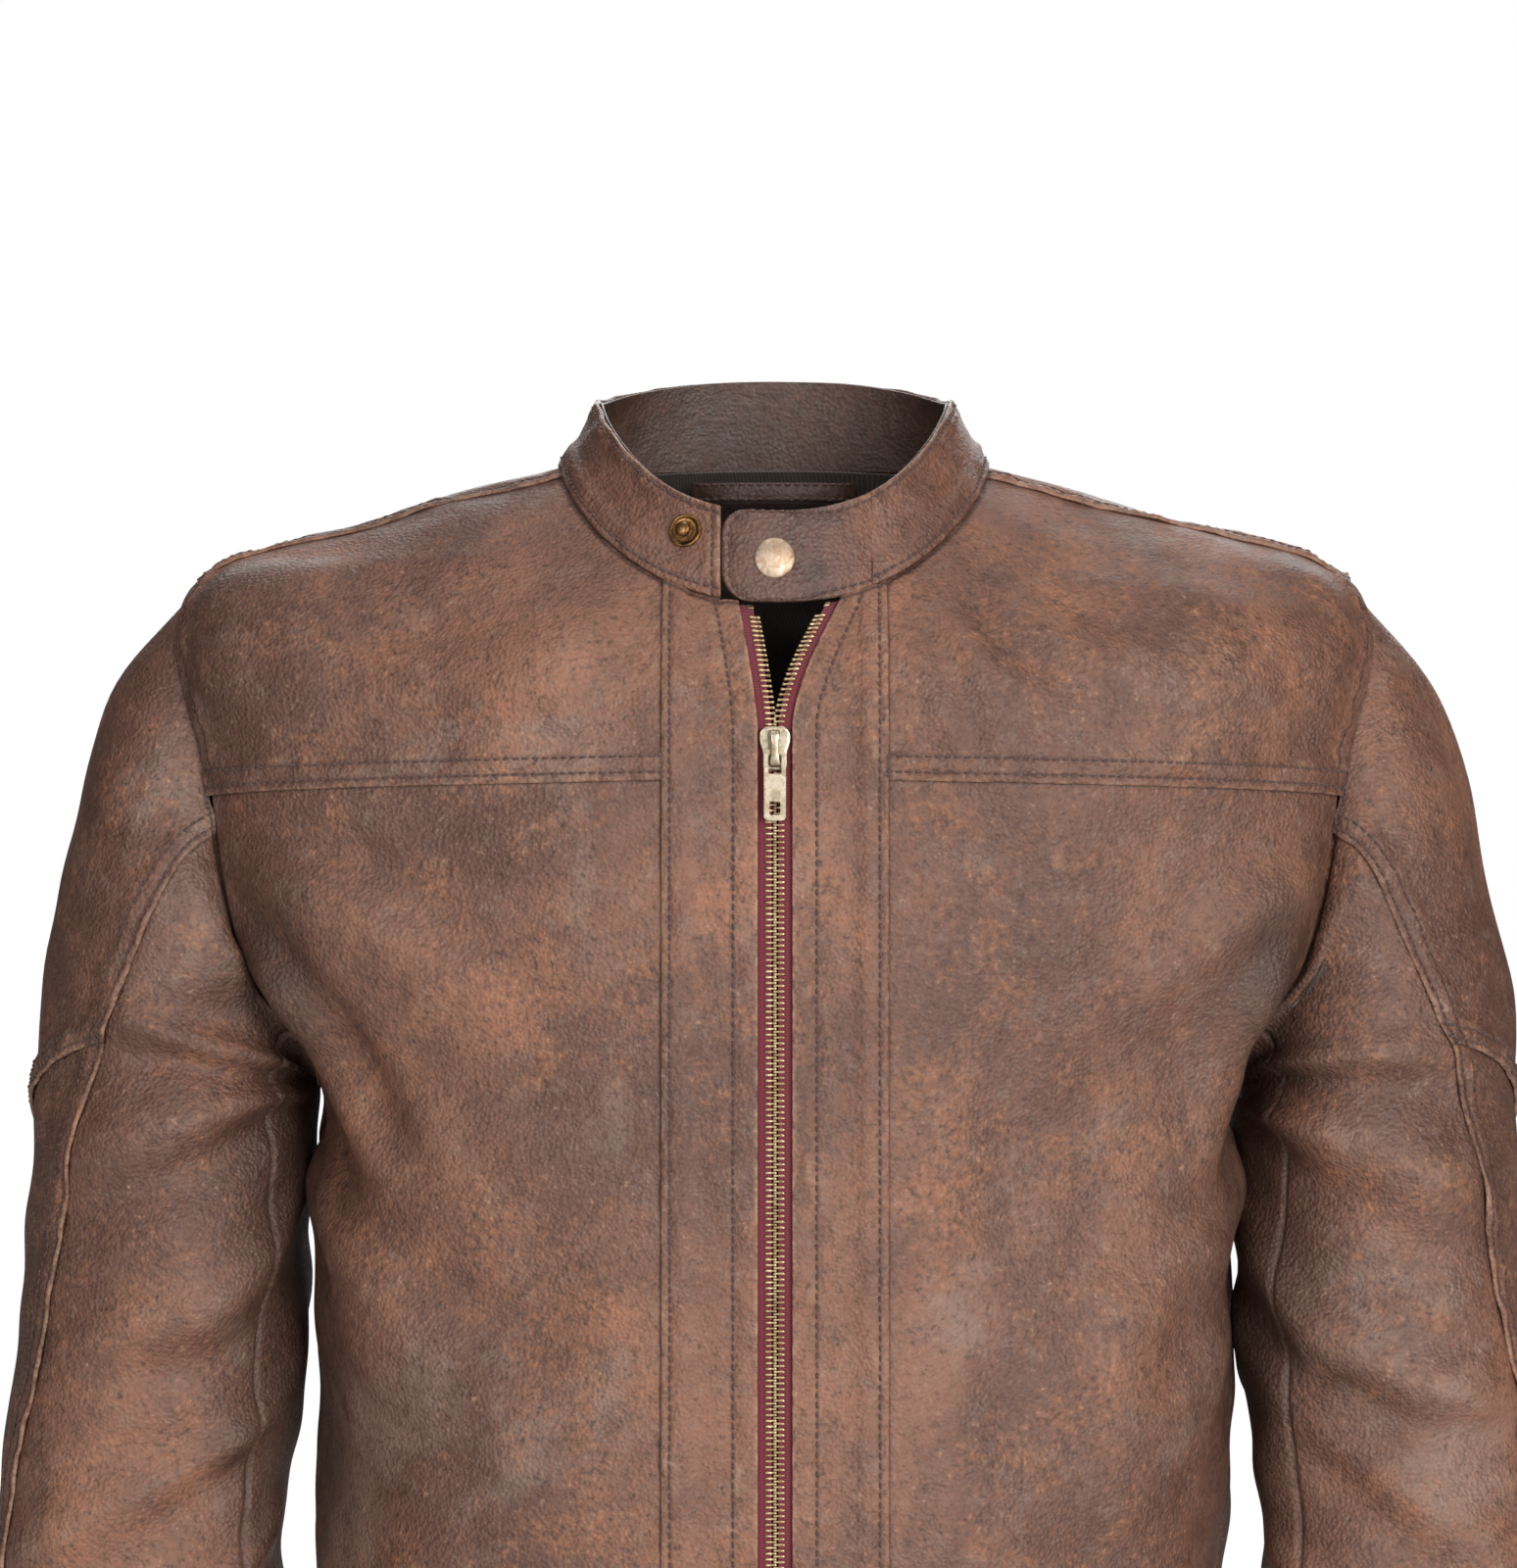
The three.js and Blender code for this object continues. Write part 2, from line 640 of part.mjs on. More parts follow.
function sleeves() {
  const base = sleeveRows.map(sleeveRow);
  const frontEnd = outerColumns + frontColumns;
  const seams = { left: seamGap, right: seamGap };
  const blocks = [
    ["shoulder_cap", 0, outerColumns, 0, capRow, { ...seams, bottom: sleeveGap, top: seamGap }],
    ["sleeve_outer", 0, outerColumns, capRow, cuffRow + capRow, { ...seams, bottom: seamGap }],
    ["sleeve_front", outerColumns, frontEnd, 0, cuffRow + capRow, { ...seams, bottom: sleeveGap }],
    ["sleeve_back", frontEnd, frontEnd + backColumns, 0, cuffRow + capRow, { ...seams, bottom: sleeveGap }],
  ];
  for (const [suffix, side] of sides) {
    const whole = side > 0 ? base : mirrored(base);
    for (const [name, from, to, firstRow, lastRow, edges] of blocks) {
      const rows = whole.slice(firstRow, Math.min(lastRow, whole.length - 1) + 1);
      const block = rows.map((row) => row.slice(from, to + 1));
      addMesh(`${name}_${suffix}`, shell(heldBack(block, edges), 0, leather), "leather");
    }
    const tube = whole.map((row) => row.slice(0, -1));
    const facingRows = tube.slice(sleeveRows.indexOf(cuffFacingRow));
    const facingFace = leather + layerGap;
    const facingBottom = facingFace + facingThick;
    addMesh(`cuff_facing_${suffix}`, shell(facingRows, facingFace, facingBottom, true), "leatherDark");
    const liningRows = openedAtTop(tube.slice(0, sleeveRows.indexOf(cuffFacingRow) + 1));
    const sleeveLiningTop = facingBottom + layerGap;
    const lining = shell(liningRows, sleeveLiningTop, sleeveLiningTop + liningThick, true);
    addMesh(`sleeve_lining_${suffix}`, lining, "lining");
  }
}

// The sleeve lining starts a little inside the armhole.
function openedAtTop(rows) {
  const start = 5;
  return [rows[0].map((point, j) => towards(point, rows[1][j], start)), ...rows.slice(1)];
}

// ---- Facings and linings ------------------------------------------------------------------

function facings() {
  for (const [suffix, side] of sides) {
    const columns = (shift) => [Math.max(facingStart, facingLead + shift) + shift, placketEdge, facingEdge];
    const strip = heldBack(frontStrip(frontRows, columns, side), { top: 2 * jointGap });
    const facing = shell(strip, facingTop, facingTop + facingThick);
    addMesh(`front_facing_${suffix}`, facing, "leatherDark");
  }
  const hemRows = [0, hemFacingRow];
  const front = frontPanelRows(placketEdge, hemRows);
  const [leftFront, back] = [ruled(front, acrossFront), ruled(backPanelRows().slice(0, 2), acrossBack)];
  const edge = hemRows.map((t) => onTorsoAtX(facingEdge + layerGap, t));
  const joined = hemRows.map((_, i) => {
    const left = [edge[i], ...leftFront[i].slice(2)];
    const right = mirrored([left])[0].reverse();
    return [...left, ...back[i].slice(1, -1), ...right];
  });
  addMesh("hem_facing", shell(joined, hemFacingTop, hemFacingTop + facingThick), "leatherDark");
}

const liningStart = rowAtFront(-bodyLength + hemFacingWidth - 8);
const liningInset = 5; // the back lining starts this far inside the armholes
const liningSink = 1.2; // and lies this much deeper there
const liningEdges = { left: seamGap, right: 2 * jointGap, top: 2 * jointGap };

function linings() {
  const rows = [liningStart, 0.5, 1, 2, 3, ...panelRows.slice(5)];
  const columns = [0, 0.06, 0.22, 0.4, 0.6, 0.8, 1];
  const lower = ruled(frontPanelRows(facingEdge + layerGap, rows), columns);
  const upper = ruled(frontYokeRows(facingEdge + layerGap), columns).slice(1);
  const low = (i, j) => i >= 1 && i <= 4 && j >= 1 && j <= 4;
  const top = (i, j) => (low(i, j) ? pocketLiningTop : liningTop);
  for (const [suffix, side] of sides) {
    const grid = heldBack([...lower, ...upper], liningEdges);
    const turn = side > 0 ? grid : mirrored(grid);
    addMesh(`lining_front_${suffix}`, shell(turn, top, (i, j) => top(i, j) + liningThick), "lining");
  }
  const back = heldBack(backLiningGrid(), { left: liningInset, right: liningInset, top: 2 * jointGap });
  const sunk = (i, j) => liningTop + (j === 0 || j === liningColumns.length - 1 ? liningSink : 0);
  addMesh("lining_back", shell(back, sunk, (i, j) => sunk(i, j) + liningThick), "lining");
}

// The lining shares the outer columns of the leather, and only every few inside.
const liningColumns = [0, 1, 3, 6, 9, 11, 12].map((column) => column / acrossBack);
const liningMiddle = 3;

function backLiningGrid() {
  const panel = backPanelRows();
  const start = between(panel[0][0], panel[1][0], liningStart / hemFacingRow);
  const rows = [[start, opposite(start)], ...panel.slice(2)];
  return [...ruled(rows, liningColumns), ...ruled(backYokeRows(), liningColumns).slice(1)];
}

// A point inside a grid's own flat cells, at fractional row and column.
function onGrid(grid, row, column) {
  const i = clamp(Math.floor(row), 0, grid.length - 2);
  const j = clamp(Math.floor(column), 0, grid[0].length - 2);
  const [v, u] = [row - i, column - j];
  const mix = (key) => {
    const low = grid[i][j][key].clone().lerp(grid[i][j + 1][key], u);
    return low.lerp(grid[i + 1][j][key].clone().lerp(grid[i + 1][j + 1][key], u), v);
  };
  return { p: mix("p"), n: mix("n").normalize() };
}

function neckFittings() {
  const grid = backLiningGrid();
  const middle = liningMiddle;
  const top = grid.length - 1;
  const liningInside = liningTop + liningThick;
  const reach = labelHalf / Math.abs(onGrid(grid, top - 2, middle - 1).p.x);
  const label = [top - 3.5, top - 2, top - 1.5].map((row) =>
    [middle - reach, middle, middle + reach].map((column) => onGrid(grid, row, column)),
  );
  const labelTop = liningInside + layerGap;
  addMesh("neck_label", shell(label, labelTop, labelTop + labelThick), "label");
  const seatShare = (loopHalf + 1) / Math.abs(onGrid(grid, top - 0.5, middle - 1).p.x);
  const seat = under(onGrid(grid, top - 0.5, middle - seatShare), liningInside + layerGap);
  addMesh("hanger_loop", hangerLoop(seat), "leatherDark");
}

// A strap held at both ends that bows away from the back of the neck.
function hangerLoop(seat) {
  const side = (offset) =>
    steps(12, -1, 1).map((share) => {
      const bow = loopBow * (1 - share ** 4);
      return new THREE.Vector2(share * loopHalf, seat.y - offset - bow);
    });
  const outline = new THREE.Shape([...side(0), ...side(loopThick).reverse()]);
  const geometry = new THREE.ExtrudeGeometry(outline, { depth: loopHeight, bevelEnabled: false });
  return geometry.translate(0, 0, seat.z - loopHeight);
}

// ---- Collar -------------------------------------------------------------------------------

const collarTopRing = {
  half: neckHalf - collarLean,
  side: -2 + collarSideHeight,
  front: -neckFrontDrop + collarHeight,
  rear: neckBackRise + collarBackHeight,
  middle: 4,
  back: neckBackReach - 5,
  reach: neckFrontReach - collarFrontLean,
};
const collar = (theta, w) => torso(theta, neckRow).lerp(ringPoint(collarTopRing, theta), w);
const collarHalfAt = (w) => lerp(neckHalf, collarTopRing.half, w);
const collarAtX = (x, w) => {
  const theta = thetaAt(Math.abs(x), collarHalfAt(w));
  return collar(x < 0 ? -theta : theta, w);
};
const onCollar = (theta, w) => framed(collar, theta, w);
const collarColumns = 20;
const collarStart = 0.03;

function collarGrid() {
  return [collarStart, 0.5, 1].map((w) => {
    const from = thetaAt(tabRoot, collarHalfAt(w));
    const to = 360 - thetaAt(collarEndRight, collarHalfAt(w));
    return steps(collarColumns).map((share) => onCollar(lerp(from, to, share), w));
  });
}

// Heights of the press stud's halves, as shares of the band.
const studHeight = 0.62;
const capHeight = 0.47;
const shankCutter = (seat) =>
  turned([[0, -8], [shankRadius + shankGap, -8], [shankRadius + shankGap, 8], [0, 8]], seat);

function collarBand() {
  const grid = collarGrid();
  const innerTop = leather + layerGap;
  const stud = studSeat(grid);
  const outer = shell(grid, 0, leather);
  const inner = shell(heldBack(grid, { left: 0.5, right: 0.5 }), innerTop, innerTop + facingThick);
  addMesh("collar_outer", cut(outer, shankCutter(stud)), "leather");
  addMesh("collar_inner", cut(inner, shankCutter(stud)), "leatherDark");
  addMesh("snap_stud", turned(studProfile(), stud), "brass");
  const back = -(innerTop + facingThick + layerGap);
  const far = back - postThick;
  const post = [[0, far], [postHalf, far], [postHalf, back], [0, back]];
  addMesh("snap_post", turned(post, stud), "brass");
}

// The stud sits on the flat cells of the band, so its seat is taken from the grid.
function studSeat(grid) {
  const last = collarColumns;
  const row = grid[1];
  let column = last;
  while (column > 1 && row[column - 1].p.x > studX) column -= 1;
  const [far, near] = [row[column - 1].p.x, row[column].p.x];
  const share = (studX - far) / (near - far);
  return onGrid(grid, 1 + (studHeight - 0.5) * 2, column - 1 + share);
}

function studProfile() {
  const rim = 0.9;
  const foot = layerGap;
  const ballTop = foot + studRise;
  const reach = -(leather + layerGap + facingThick + layerGap / 2);
  return [
    [0, reach],
    [shankRadius, reach],
    [shankRadius, foot],
    [studRadius, foot],
    [studRadius, foot + rim],
    [studRadius - 1.2, foot + rim],
    [studRadius - 1.6, foot + rim / 2],
    [studNeck, foot + rim / 2],
    [studNeck, ballTop - 2.4],
    [studBall, ballTop - 1.5],
    [studBall, ballTop - 0.9],
    [studBall - 1, ballTop - 0.1],
    [0, ballTop],
  ];
}

// ---- Collar strap -------------------------------------------------------------------------

// The strap carries on from the band at its root and ends in rounded corners over the opening.
function tabEnd(share) {
  const fromEdge = Math.min(share, 1 - share) * collarHeight;
  const inset = Math.max(0, tabCorner - fromEdge);
  return -collarEndRight + 0.5 + tabCorner - Math.sqrt(tabCorner ** 2 - inset ** 2);
}

function tabGrid() {
  const rows = [0, 0.03, 0.1, 0.2, 0.3, 0.5, 0.7, 0.8, 0.9, 0.97, 1];
  return rows.map((w) => {
    const end = tabEnd(w);
    return steps(8).map((share) => {
      const x = lerp(end, tabRoot - runGap, share);
      return { p: collarAtX(x, w), n: tabNormal(x, w) };
    });
  });
}

function tabNormal(x, w) {
  const step = 0.5;
  const alongX = collarAtX(x + step, w).sub(collarAtX(x - step, w));
  const alongW = collarAtX(x, w + 0.01).sub(collarAtX(x, w - 0.01));
  return alongX.cross(alongW).normalize();
}

function collarStrap() {
  const seat = { p: collarAtX(capX, capHeight), n: tabNormal(capX, capHeight) };
  const strap = shell(tabGrid(), -tabProud, tabThick - tabProud);
  addMesh("collar_tab", cut(strap, shankCutter(seat)), "leather");
  const face = tabProud + layerGap;
  const back = tabProud - tabThick - layerGap;
  const cap = [
    [0, back - 0.6],
    [shankRadius, back - 0.6],
    [shankRadius, face],
    [capRadius, face],
    [capRadius, face + capRim],
    [capRadius * 0.86, face + capRise * 0.7],
    [capRadius * 0.5, face + capRise * 0.95],
    [0, face + capRise],
  ];
  addMesh("snap_cap", turned(cap, seat), "nickel");
  const hole = shankRadius + shankGap;
  const socket = [
    [hole, back],
    [hole, back - 1],
    [studBall + shankGap, back - 1],
    [studBall + shankGap, back - socketDepth],
    [socketHalf, back - socketDepth],
    [socketHalf, back],
    [hole, back],
  ];
  addMesh("snap_socket", turned(socket, seat), "brass");
}

// ---- Zip fasteners ------------------------------------------------------------------------

// Zip pieces are drawn in X (across), Y (inwards) and Z (up) about a point on the zip's line.
function sliderGeometry() {
  const half = sliderLength / 2;
  const outline = new THREE.Shape();
  outline.moveTo(-sliderHalfBottom, -half);
  outline.lineTo(sliderHalfBottom, -half);
  outline.lineTo(sliderHalfBottom, -half * 0.2);
  outline.lineTo(sliderHalfTop, half * 0.35);
  outline.lineTo(sliderHalfTop - 0.8, half);
  outline.lineTo(-sliderHalfTop + 0.8, half);
  outline.lineTo(-sliderHalfTop, half * 0.35);
  outline.lineTo(-sliderHalfBottom, -half * 0.2);
  const frontBack = teethTop - runGap;
  const rearFront = teethTop + teethThick + runGap;
  const wall = teethOuter + 2 * runGap;
  const walls = [-1, 1].flatMap((side) => {
    const [x0, x1] = side > 0 ? [wall, sliderHalfBottom] : [-sliderHalfBottom, -wall];
    return [
      box([x0, frontBack - 0.2, -half], [x1, tapeTop - runGap, half]),
      box([x0, tapeTop + tapeThick + runGap, -half], [x1, rearFront + 0.2, half]),
    ];
  });
  const divider = teethInner - runGap;
  return unite(
    plate(outline, frontBack - plateThick, frontBack),
    plate(outline, rearFront, rearFront + plateThick),
    box([-divider, frontBack - 0.2, half - 6], [divider, rearFront + 0.2, half]),
    ...walls,
    bridgeGeometry(frontBack - plateThick + 0.2),
  );
}

const pullAxisZ = -1.4;
const bridgeTop = 6.5;
const bridgeFoot = 2;

// An arch along the slider, under which the pull's bar turns.
function bridgeGeometry(foot) {
  const outline = new THREE.Shape();
  outline.moveTo(foot, bridgeTop);
  outline.lineTo(-bridgeRise + 1.2, bridgeTop - 0.6);
  outline.lineTo(-bridgeRise, bridgeTop - 2);
  outline.lineTo(-bridgeRise, -bridgeTop + 1.5);
  outline.lineTo(-bridgeRise + 1, -bridgeTop);
  outline.lineTo(foot, -bridgeTop);
  outline.lineTo(foot, -bridgeTop + bridgeFoot);
  outline.lineTo(-bridgeRise + bridgeThick, -bridgeTop + bridgeFoot);
  outline.lineTo(-bridgeRise + bridgeThick, bridgeTop - bridgeFoot - 0.6);
  outline.lineTo(foot, bridgeTop - bridgeFoot);
  const geometry = new THREE.ExtrudeGeometry(outline, { depth: bridgeWidth, bevelEnabled: false });
  const toYZ = new THREE.Matrix4().set(0, 0, 1, -bridgeWidth / 2, 1, 0, 0, 0, 0, 1, 0, 0, 0, 0, 0, 1);
  return geometry.applyMatrix4(toYZ);
}

const pullStandoff = 0.95; // between the slider's plate and the pull
const pullAxisY = teethTop - runGap - plateThick - pullThick / 2 - pullStandoff;

function pullGeometry() {
  const top = pullAxisZ + 1;
  const half = pullWidth / 2;
  const slotHalfWidth = bridgeWidth / 2 + 0.4;
  const outline = roundedRectangle(-half, top - pullLength, half, top, 1.6);
  const slotTop = top - 2;
  const windowLow = top - pullLength + 2;
  const holes = [
    [-slotHalfWidth, slotTop - pullSlot, slotHalfWidth, slotTop],
    [-half + 2, windowLow, half - 2, windowLow + pullWindow],
  ];
  for (const hole of holes) outline.holes.push(roundedRectangle(...hole, 0.6, new THREE.Path()));
  return plate(outline, pullAxisY - pullThick / 2, pullAxisY + pullThick / 2);
}

const zipBottom = rowAtFront(-bodyLength + zipBottomRise);
const sliderCentreZ = straightTop - sliderLength / 2;
const chainRows = [zipBottom, 1, 2, 3, underarmRow, 5, ...yokeRows];
const chainTopGap = 3.2; // the rows of teeth end this far below the neck seam
const stopSpan = [0.86, 0.95]; // the top stops, as shares of the last row of the grid

function mainZip() {
  for (const [suffix, side] of sides) {
    const across = (shift) => [tapeInner + shift, slotHalf + shift, tapeOuter + shift];
    const tape = heldBack(frontStrip(chainRows, across, side), { top: jointGap });
    addMesh(`zip_tape_${suffix}`, shell(tape, tapeTop, tapeTop + tapeThick), "tape");
    const chain = frontStrip(chainRows, (shift) => [teethInner + shift, teethOuter + shift], side);
    const teeth = heldBack(chain, { top: chainTopGap });
    addMesh(`zip_teeth_${suffix}`, shell(teeth, teethTop, teethTop + teethThick), "brass");
    const lastCell = chain.length - 2;
    const stop = stopSpan.map((share) => [0, 1].map((column) => onGrid(chain, lastCell + share, column)));
    addMesh(`top_stop_${suffix}`, shell(stop, teethTop, teethTop + teethThick), "brass");
  }
  const frame = new THREE.Group();
  frame.position.set(0, frontY(sliderCentreZ), sliderCentreZ);
  frame.rotation.x = -Math.atan(frontSlope);
  addMesh("zip_slider", sliderGeometry(), "nickel", frame);
  addMesh("zip_pull", pullGeometry(), "nickel", frame);
  jacket.add(frame);
  zipEnd();
}

const retainerHeight = 10;
const retainerProud = 0.8; // how far the box stands beyond the teeth
const pinShort = 1; // the pin ends this far above the box's foot

// The box and the pin that join the two tapes at the hem.
function zipEnd() {
  const top = -bodyLength + zipBottomRise - runGap;
  const frame = new THREE.Group();
  frame.position.set(0, frontY(top), top);
  frame.rotation.x = -Math.atan(frontSlope);
  const depth = teethTop + teethThick;
  const retainer = box(
    [-tapeInner - 1, teethTop - retainerProud, -retainerHeight],
    [teethInner - 0.6, depth + retainerProud, 0],
  );
  addMesh("retainer_box", retainer, "brass", frame);
  const pin = box([teethInner - 0.2, teethTop, pinShort - retainerHeight], [teethOuter, depth, 0]);
  addMesh("insertion_pin", pin, "brass", frame);
  jacket.add(frame);
}

// ---- Hand pockets -------------------------------------------------------------------------

// For side 1 the frame's Z runs up the zip, Y inwards and X across it, on the chord of the slot.
function pocketFrame() {
  const at = ({ x, z }) => torsoAtX(x, rowAtFront(z));
  const [top, bottom] = [at(pocketTop), at(pocketBottom)];
  const middle = top.clone().lerp(bottom, 0.5);
  const along = top.clone().sub(bottom);
  const length = along.length();
  along.normalize();
  const centreRow = rowAtFront((pocketTop.z + pocketBottom.z) / 2);
  const { n } = onTorsoAtX((pocketTop.x + pocketBottom.x) / 2, centreRow);
  const inward = n.clone().negate();
  inward.addScaledVector(along, -inward.dot(along)).normalize();
  const across = inward.clone().cross(along);
  return { matrix: new THREE.Matrix4().makeBasis(across, inward, along).setPosition(middle), length };
}

const pocket = pocketFrame();
const mirror = new THREE.Matrix4().makeScale(-1, 1, 1);
const pocketTapeEdge = sliderHalfTop * pocketZipScale + runGap; // where the tape steps back
const pocketTapeStep = 0.5;
const pocketSlotHalf = pocketTapeEdge + pocketTapeStep + runGap;

// Places a geometry drawn in the pocket frame on one side of the jacket.
function placed(geometry, side) {
  geometry.applyMatrix4(pocket.matrix);
  if (side > 0) return geometry;
  geometry.applyMatrix4(mirror);
  return facingOut(Array.from(geometry.attributes.position.array), indexOf(geometry));
}

function indexOf(geometry) {
  if (geometry.index) return Array.from(geometry.index.array);
  return Array.from({ length: geometry.attributes.position.count }, (_, i) => i);
}

const pocketSlot = (halfWidth, y0, y1, extra = 0) => {
  const end = pocket.length / 2 + extra;
  return box([-halfWidth, y0, -end], [halfWidth, y1, end]);
};

const withPocketSlot = (panel, side) => cut(panel, placed(pocketSlot(pocketSlotHalf, -20, 20), side));

// A patch of the torso surface along the pocket, from offsets across it, longer than the slot.
function pocketPatch(columns, extra, rows) {
  const stretch = extra / (pocketTop.z - pocketBottom.z);
  return steps(rows, -stretch, 1 + stretch).map((share) => {
    const t = rowAtFront(lerp(pocketBottom.z, pocketTop.z, share));
    const x = lerp(pocketBottom.x, pocketTop.x, share);
    return columns.map((offset) => onTorsoAtX(x + offset, t));
  });
}

function pockets() {
  const scale = pocketZipScale;
  const travelHalf = pocket.length / 2 - sliderLength * scale;
  for (const [suffix, side] of sides) {
    const welt = pocketPatch(steps(4, -weltHalf, weltHalf), pocketMargin, 6);
    const weltShell = shell(side > 0 ? welt : mirrored(welt), -weltProud - 0.2, -0.2);
    const slot = placed(pocketSlot(pocketSlotHalf, -20, 20, -2), side);
    addMesh(`pocket_welt_${suffix}`, cut(weltShell, slot), "leather");
    addMesh(`pocket_zip_${suffix}`, placed(pocketChain(), side), "tape");
    const slider = sliderGeometry().scale(scale, scale, scale).translate(0, 0, travelHalf);
    addMesh(`pocket_slider_${suffix}`, placed(slider, side), "nickel");
    const pull = pullGeometry().scale(scale, scale, scale).translate(0, 0, travelHalf);
    addMesh(`pocket_pull_${suffix}`, placed(pull, side), "nickel");
    addMesh(`pocket_bag_${suffix}`, pocketBag(side), "lining");
  }
}

// Two tapes with their rows of teeth, joined across both ends of the slot.
function pocketChain() {
  const scale = pocketZipScale;
  const slotEnd = pocket.length / 2 - runGap;
  const tapeEnd = pocket.length / 2 + pocketTapeRun;
  const [tapeFront, tapeBack] = [tapeTop * scale, (tapeTop + tapeThick) * scale];
  const tapeBehind = pocketTapeTop + tapeThick;
  const stepEdge = pocketTapeEdge + pocketTapeStep;
  const parts = [-1, 1].flatMap((side) => {
    const strip = (from, to, y0, y1, end) => {
      const [x0, x1] = side > 0 ? [from, to] : [-to, -from];
      return box([x0, y0, -end], [x1, y1, end]);
    };
    const teeth = [teethInner, teethOuter, teethTop, teethTop + teethThick].map((size) => size * scale);
    return [
      strip(...teeth, slotEnd),
      strip((teethOuter - 0.2) * scale, stepEdge, tapeFront, tapeBack, slotEnd),
      strip(pocketTapeEdge, stepEdge, tapeFront, tapeBehind, slotEnd),
      strip(pocketTapeEdge, pocketTapeHalf, pocketTapeTop, tapeBehind, tapeEnd),
    ];
  });
  const tie = (z) => box([-pocketTapeHalf, pocketTapeTop, z - 1], [pocketTapeHalf, tapeBehind, z + 1]);
  return unite(...parts, tie(1 - tapeEnd), tie(tapeEnd - 1));
}

// The bag lies flat behind the tape, with a channel for the slider.
function pocketBag(side) {
  const half = [bagHalf, pocketTapeHalf - 1.5, pocketSlotHalf - 0.5];
  const columns = [...half.map((offset) => -offset), ...half.slice().reverse()];
  const patch = pocketPatch(columns, 4, 8);
  const top = (i, j) => (j === 2 || j === 3 ? bagChannelTop : bagTop);
  return shell(side > 0 ? patch : mirrored(patch), top, bagBottom);
}

// ---- The jacket ---------------------------------------------------------------------------

bodyPanels();
sleeves();
facings();
linings();
neckFittings();
collarBand();
collarStrap();
mainZip();
pockets();

export default jacket;
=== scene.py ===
import math

import bmesh
import bpy
import numpy as np
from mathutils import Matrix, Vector


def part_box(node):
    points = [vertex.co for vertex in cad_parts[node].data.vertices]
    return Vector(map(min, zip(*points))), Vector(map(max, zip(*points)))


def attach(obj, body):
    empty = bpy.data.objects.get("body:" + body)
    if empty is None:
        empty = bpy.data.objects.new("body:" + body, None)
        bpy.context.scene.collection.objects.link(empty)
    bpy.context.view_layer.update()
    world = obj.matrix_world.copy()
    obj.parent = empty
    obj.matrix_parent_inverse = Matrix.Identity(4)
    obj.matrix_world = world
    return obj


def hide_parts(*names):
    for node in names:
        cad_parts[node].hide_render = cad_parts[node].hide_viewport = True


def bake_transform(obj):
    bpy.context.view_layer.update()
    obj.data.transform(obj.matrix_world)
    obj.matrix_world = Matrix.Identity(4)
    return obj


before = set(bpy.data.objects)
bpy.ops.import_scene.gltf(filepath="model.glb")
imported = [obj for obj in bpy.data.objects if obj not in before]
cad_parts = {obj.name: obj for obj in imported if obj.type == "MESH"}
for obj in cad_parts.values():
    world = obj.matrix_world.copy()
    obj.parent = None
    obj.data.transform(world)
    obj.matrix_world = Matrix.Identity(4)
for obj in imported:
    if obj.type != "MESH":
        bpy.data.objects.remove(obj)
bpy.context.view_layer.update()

# A band-collar leather riding jacket. Sizes below are in millimetres in the row frame, and
# MM turns them into metres where a mesh is made. +X is the wearer's left, -Y the front.
MM = 0.001
SIDES = (("l", 1), ("r", -1))

# ---- Camera, light and floor ---------------------------------------------------------------


def make_camera():
    data = bpy.data.cameras.new("camera")
    data.sensor_width = 36.0
    data.lens = 131.2
    data.clip_start, data.clip_end = 0.05, 50.0
    camera = bpy.data.objects.new("camera", data)
    camera.location = (-0.006, -2.2, -0.124)
    camera.rotation_euler = (math.radians(90), 0, 0)
    bpy.context.scene.collection.objects.link(camera)
    bpy.context.scene.camera = camera


def area_light(name, place, aim, size, power, tint=(1, 1, 1)):
    data = bpy.data.lights.new(name, "AREA")
    data.shape = "RECTANGLE"
    data.size, data.size_y = size
    data.energy = power
    data.color = tint
    light = bpy.data.objects.new(name, data)
    light.location = place
    light.rotation_euler = (Vector(aim) - Vector(place)).to_track_quat("-Z", "Y").to_euler()
    bpy.context.scene.collection.objects.link(light)


def make_world(ambient):
    """White behind the object, and an even dimmer light on it."""
    world = bpy.data.worlds.new("studio")
    world.use_nodes = True
    nodes, links = world.node_tree.nodes, world.node_tree.links
    nodes.clear()
    seen, lit = nodes.new("ShaderNodeBackground"), nodes.new("ShaderNodeBackground")
    seen.inputs[0].default_value = (1, 1, 1, 1)
    lit.inputs[0].default_value = (1, 1, 1, 1)
    lit.inputs[1].default_value = ambient
    path, mix = nodes.new("ShaderNodeLightPath"), nodes.new("ShaderNodeMixShader")
    out = nodes.new("ShaderNodeOutputWorld")
    links.new(path.outputs["Is Camera Ray"], mix.inputs[0])
    links.new(lit.outputs[0], mix.inputs[1])
    links.new(seen.outputs[0], mix.inputs[2])
    links.new(mix.outputs[0], out.inputs[0])
    bpy.context.scene.world = world


def make_floor():
    half, drop = 1.8, -0.86
    mesh = bpy.data.meshes.new("floor")
    corners = [(-half, -half, drop), (half, -half, drop), (half, half, drop), (-half, half, drop)]
    mesh.from_pydata(corners, [], [(0, 1, 2, 3)])
    floor = bpy.data.objects.new("floor", mesh)
    bpy.context.scene.collection.objects.link(floor)
    pale = bpy.data.materials.new("floor_pale")
    pale.use_nodes = True
    shader = pale.node_tree.nodes["Principled BSDF"]
    shader.inputs["Base Color"].default_value = (0.86, 0.86, 0.85, 1)
    shader.inputs["Roughness"].default_value = 0.8
    mesh.materials.append(pale)


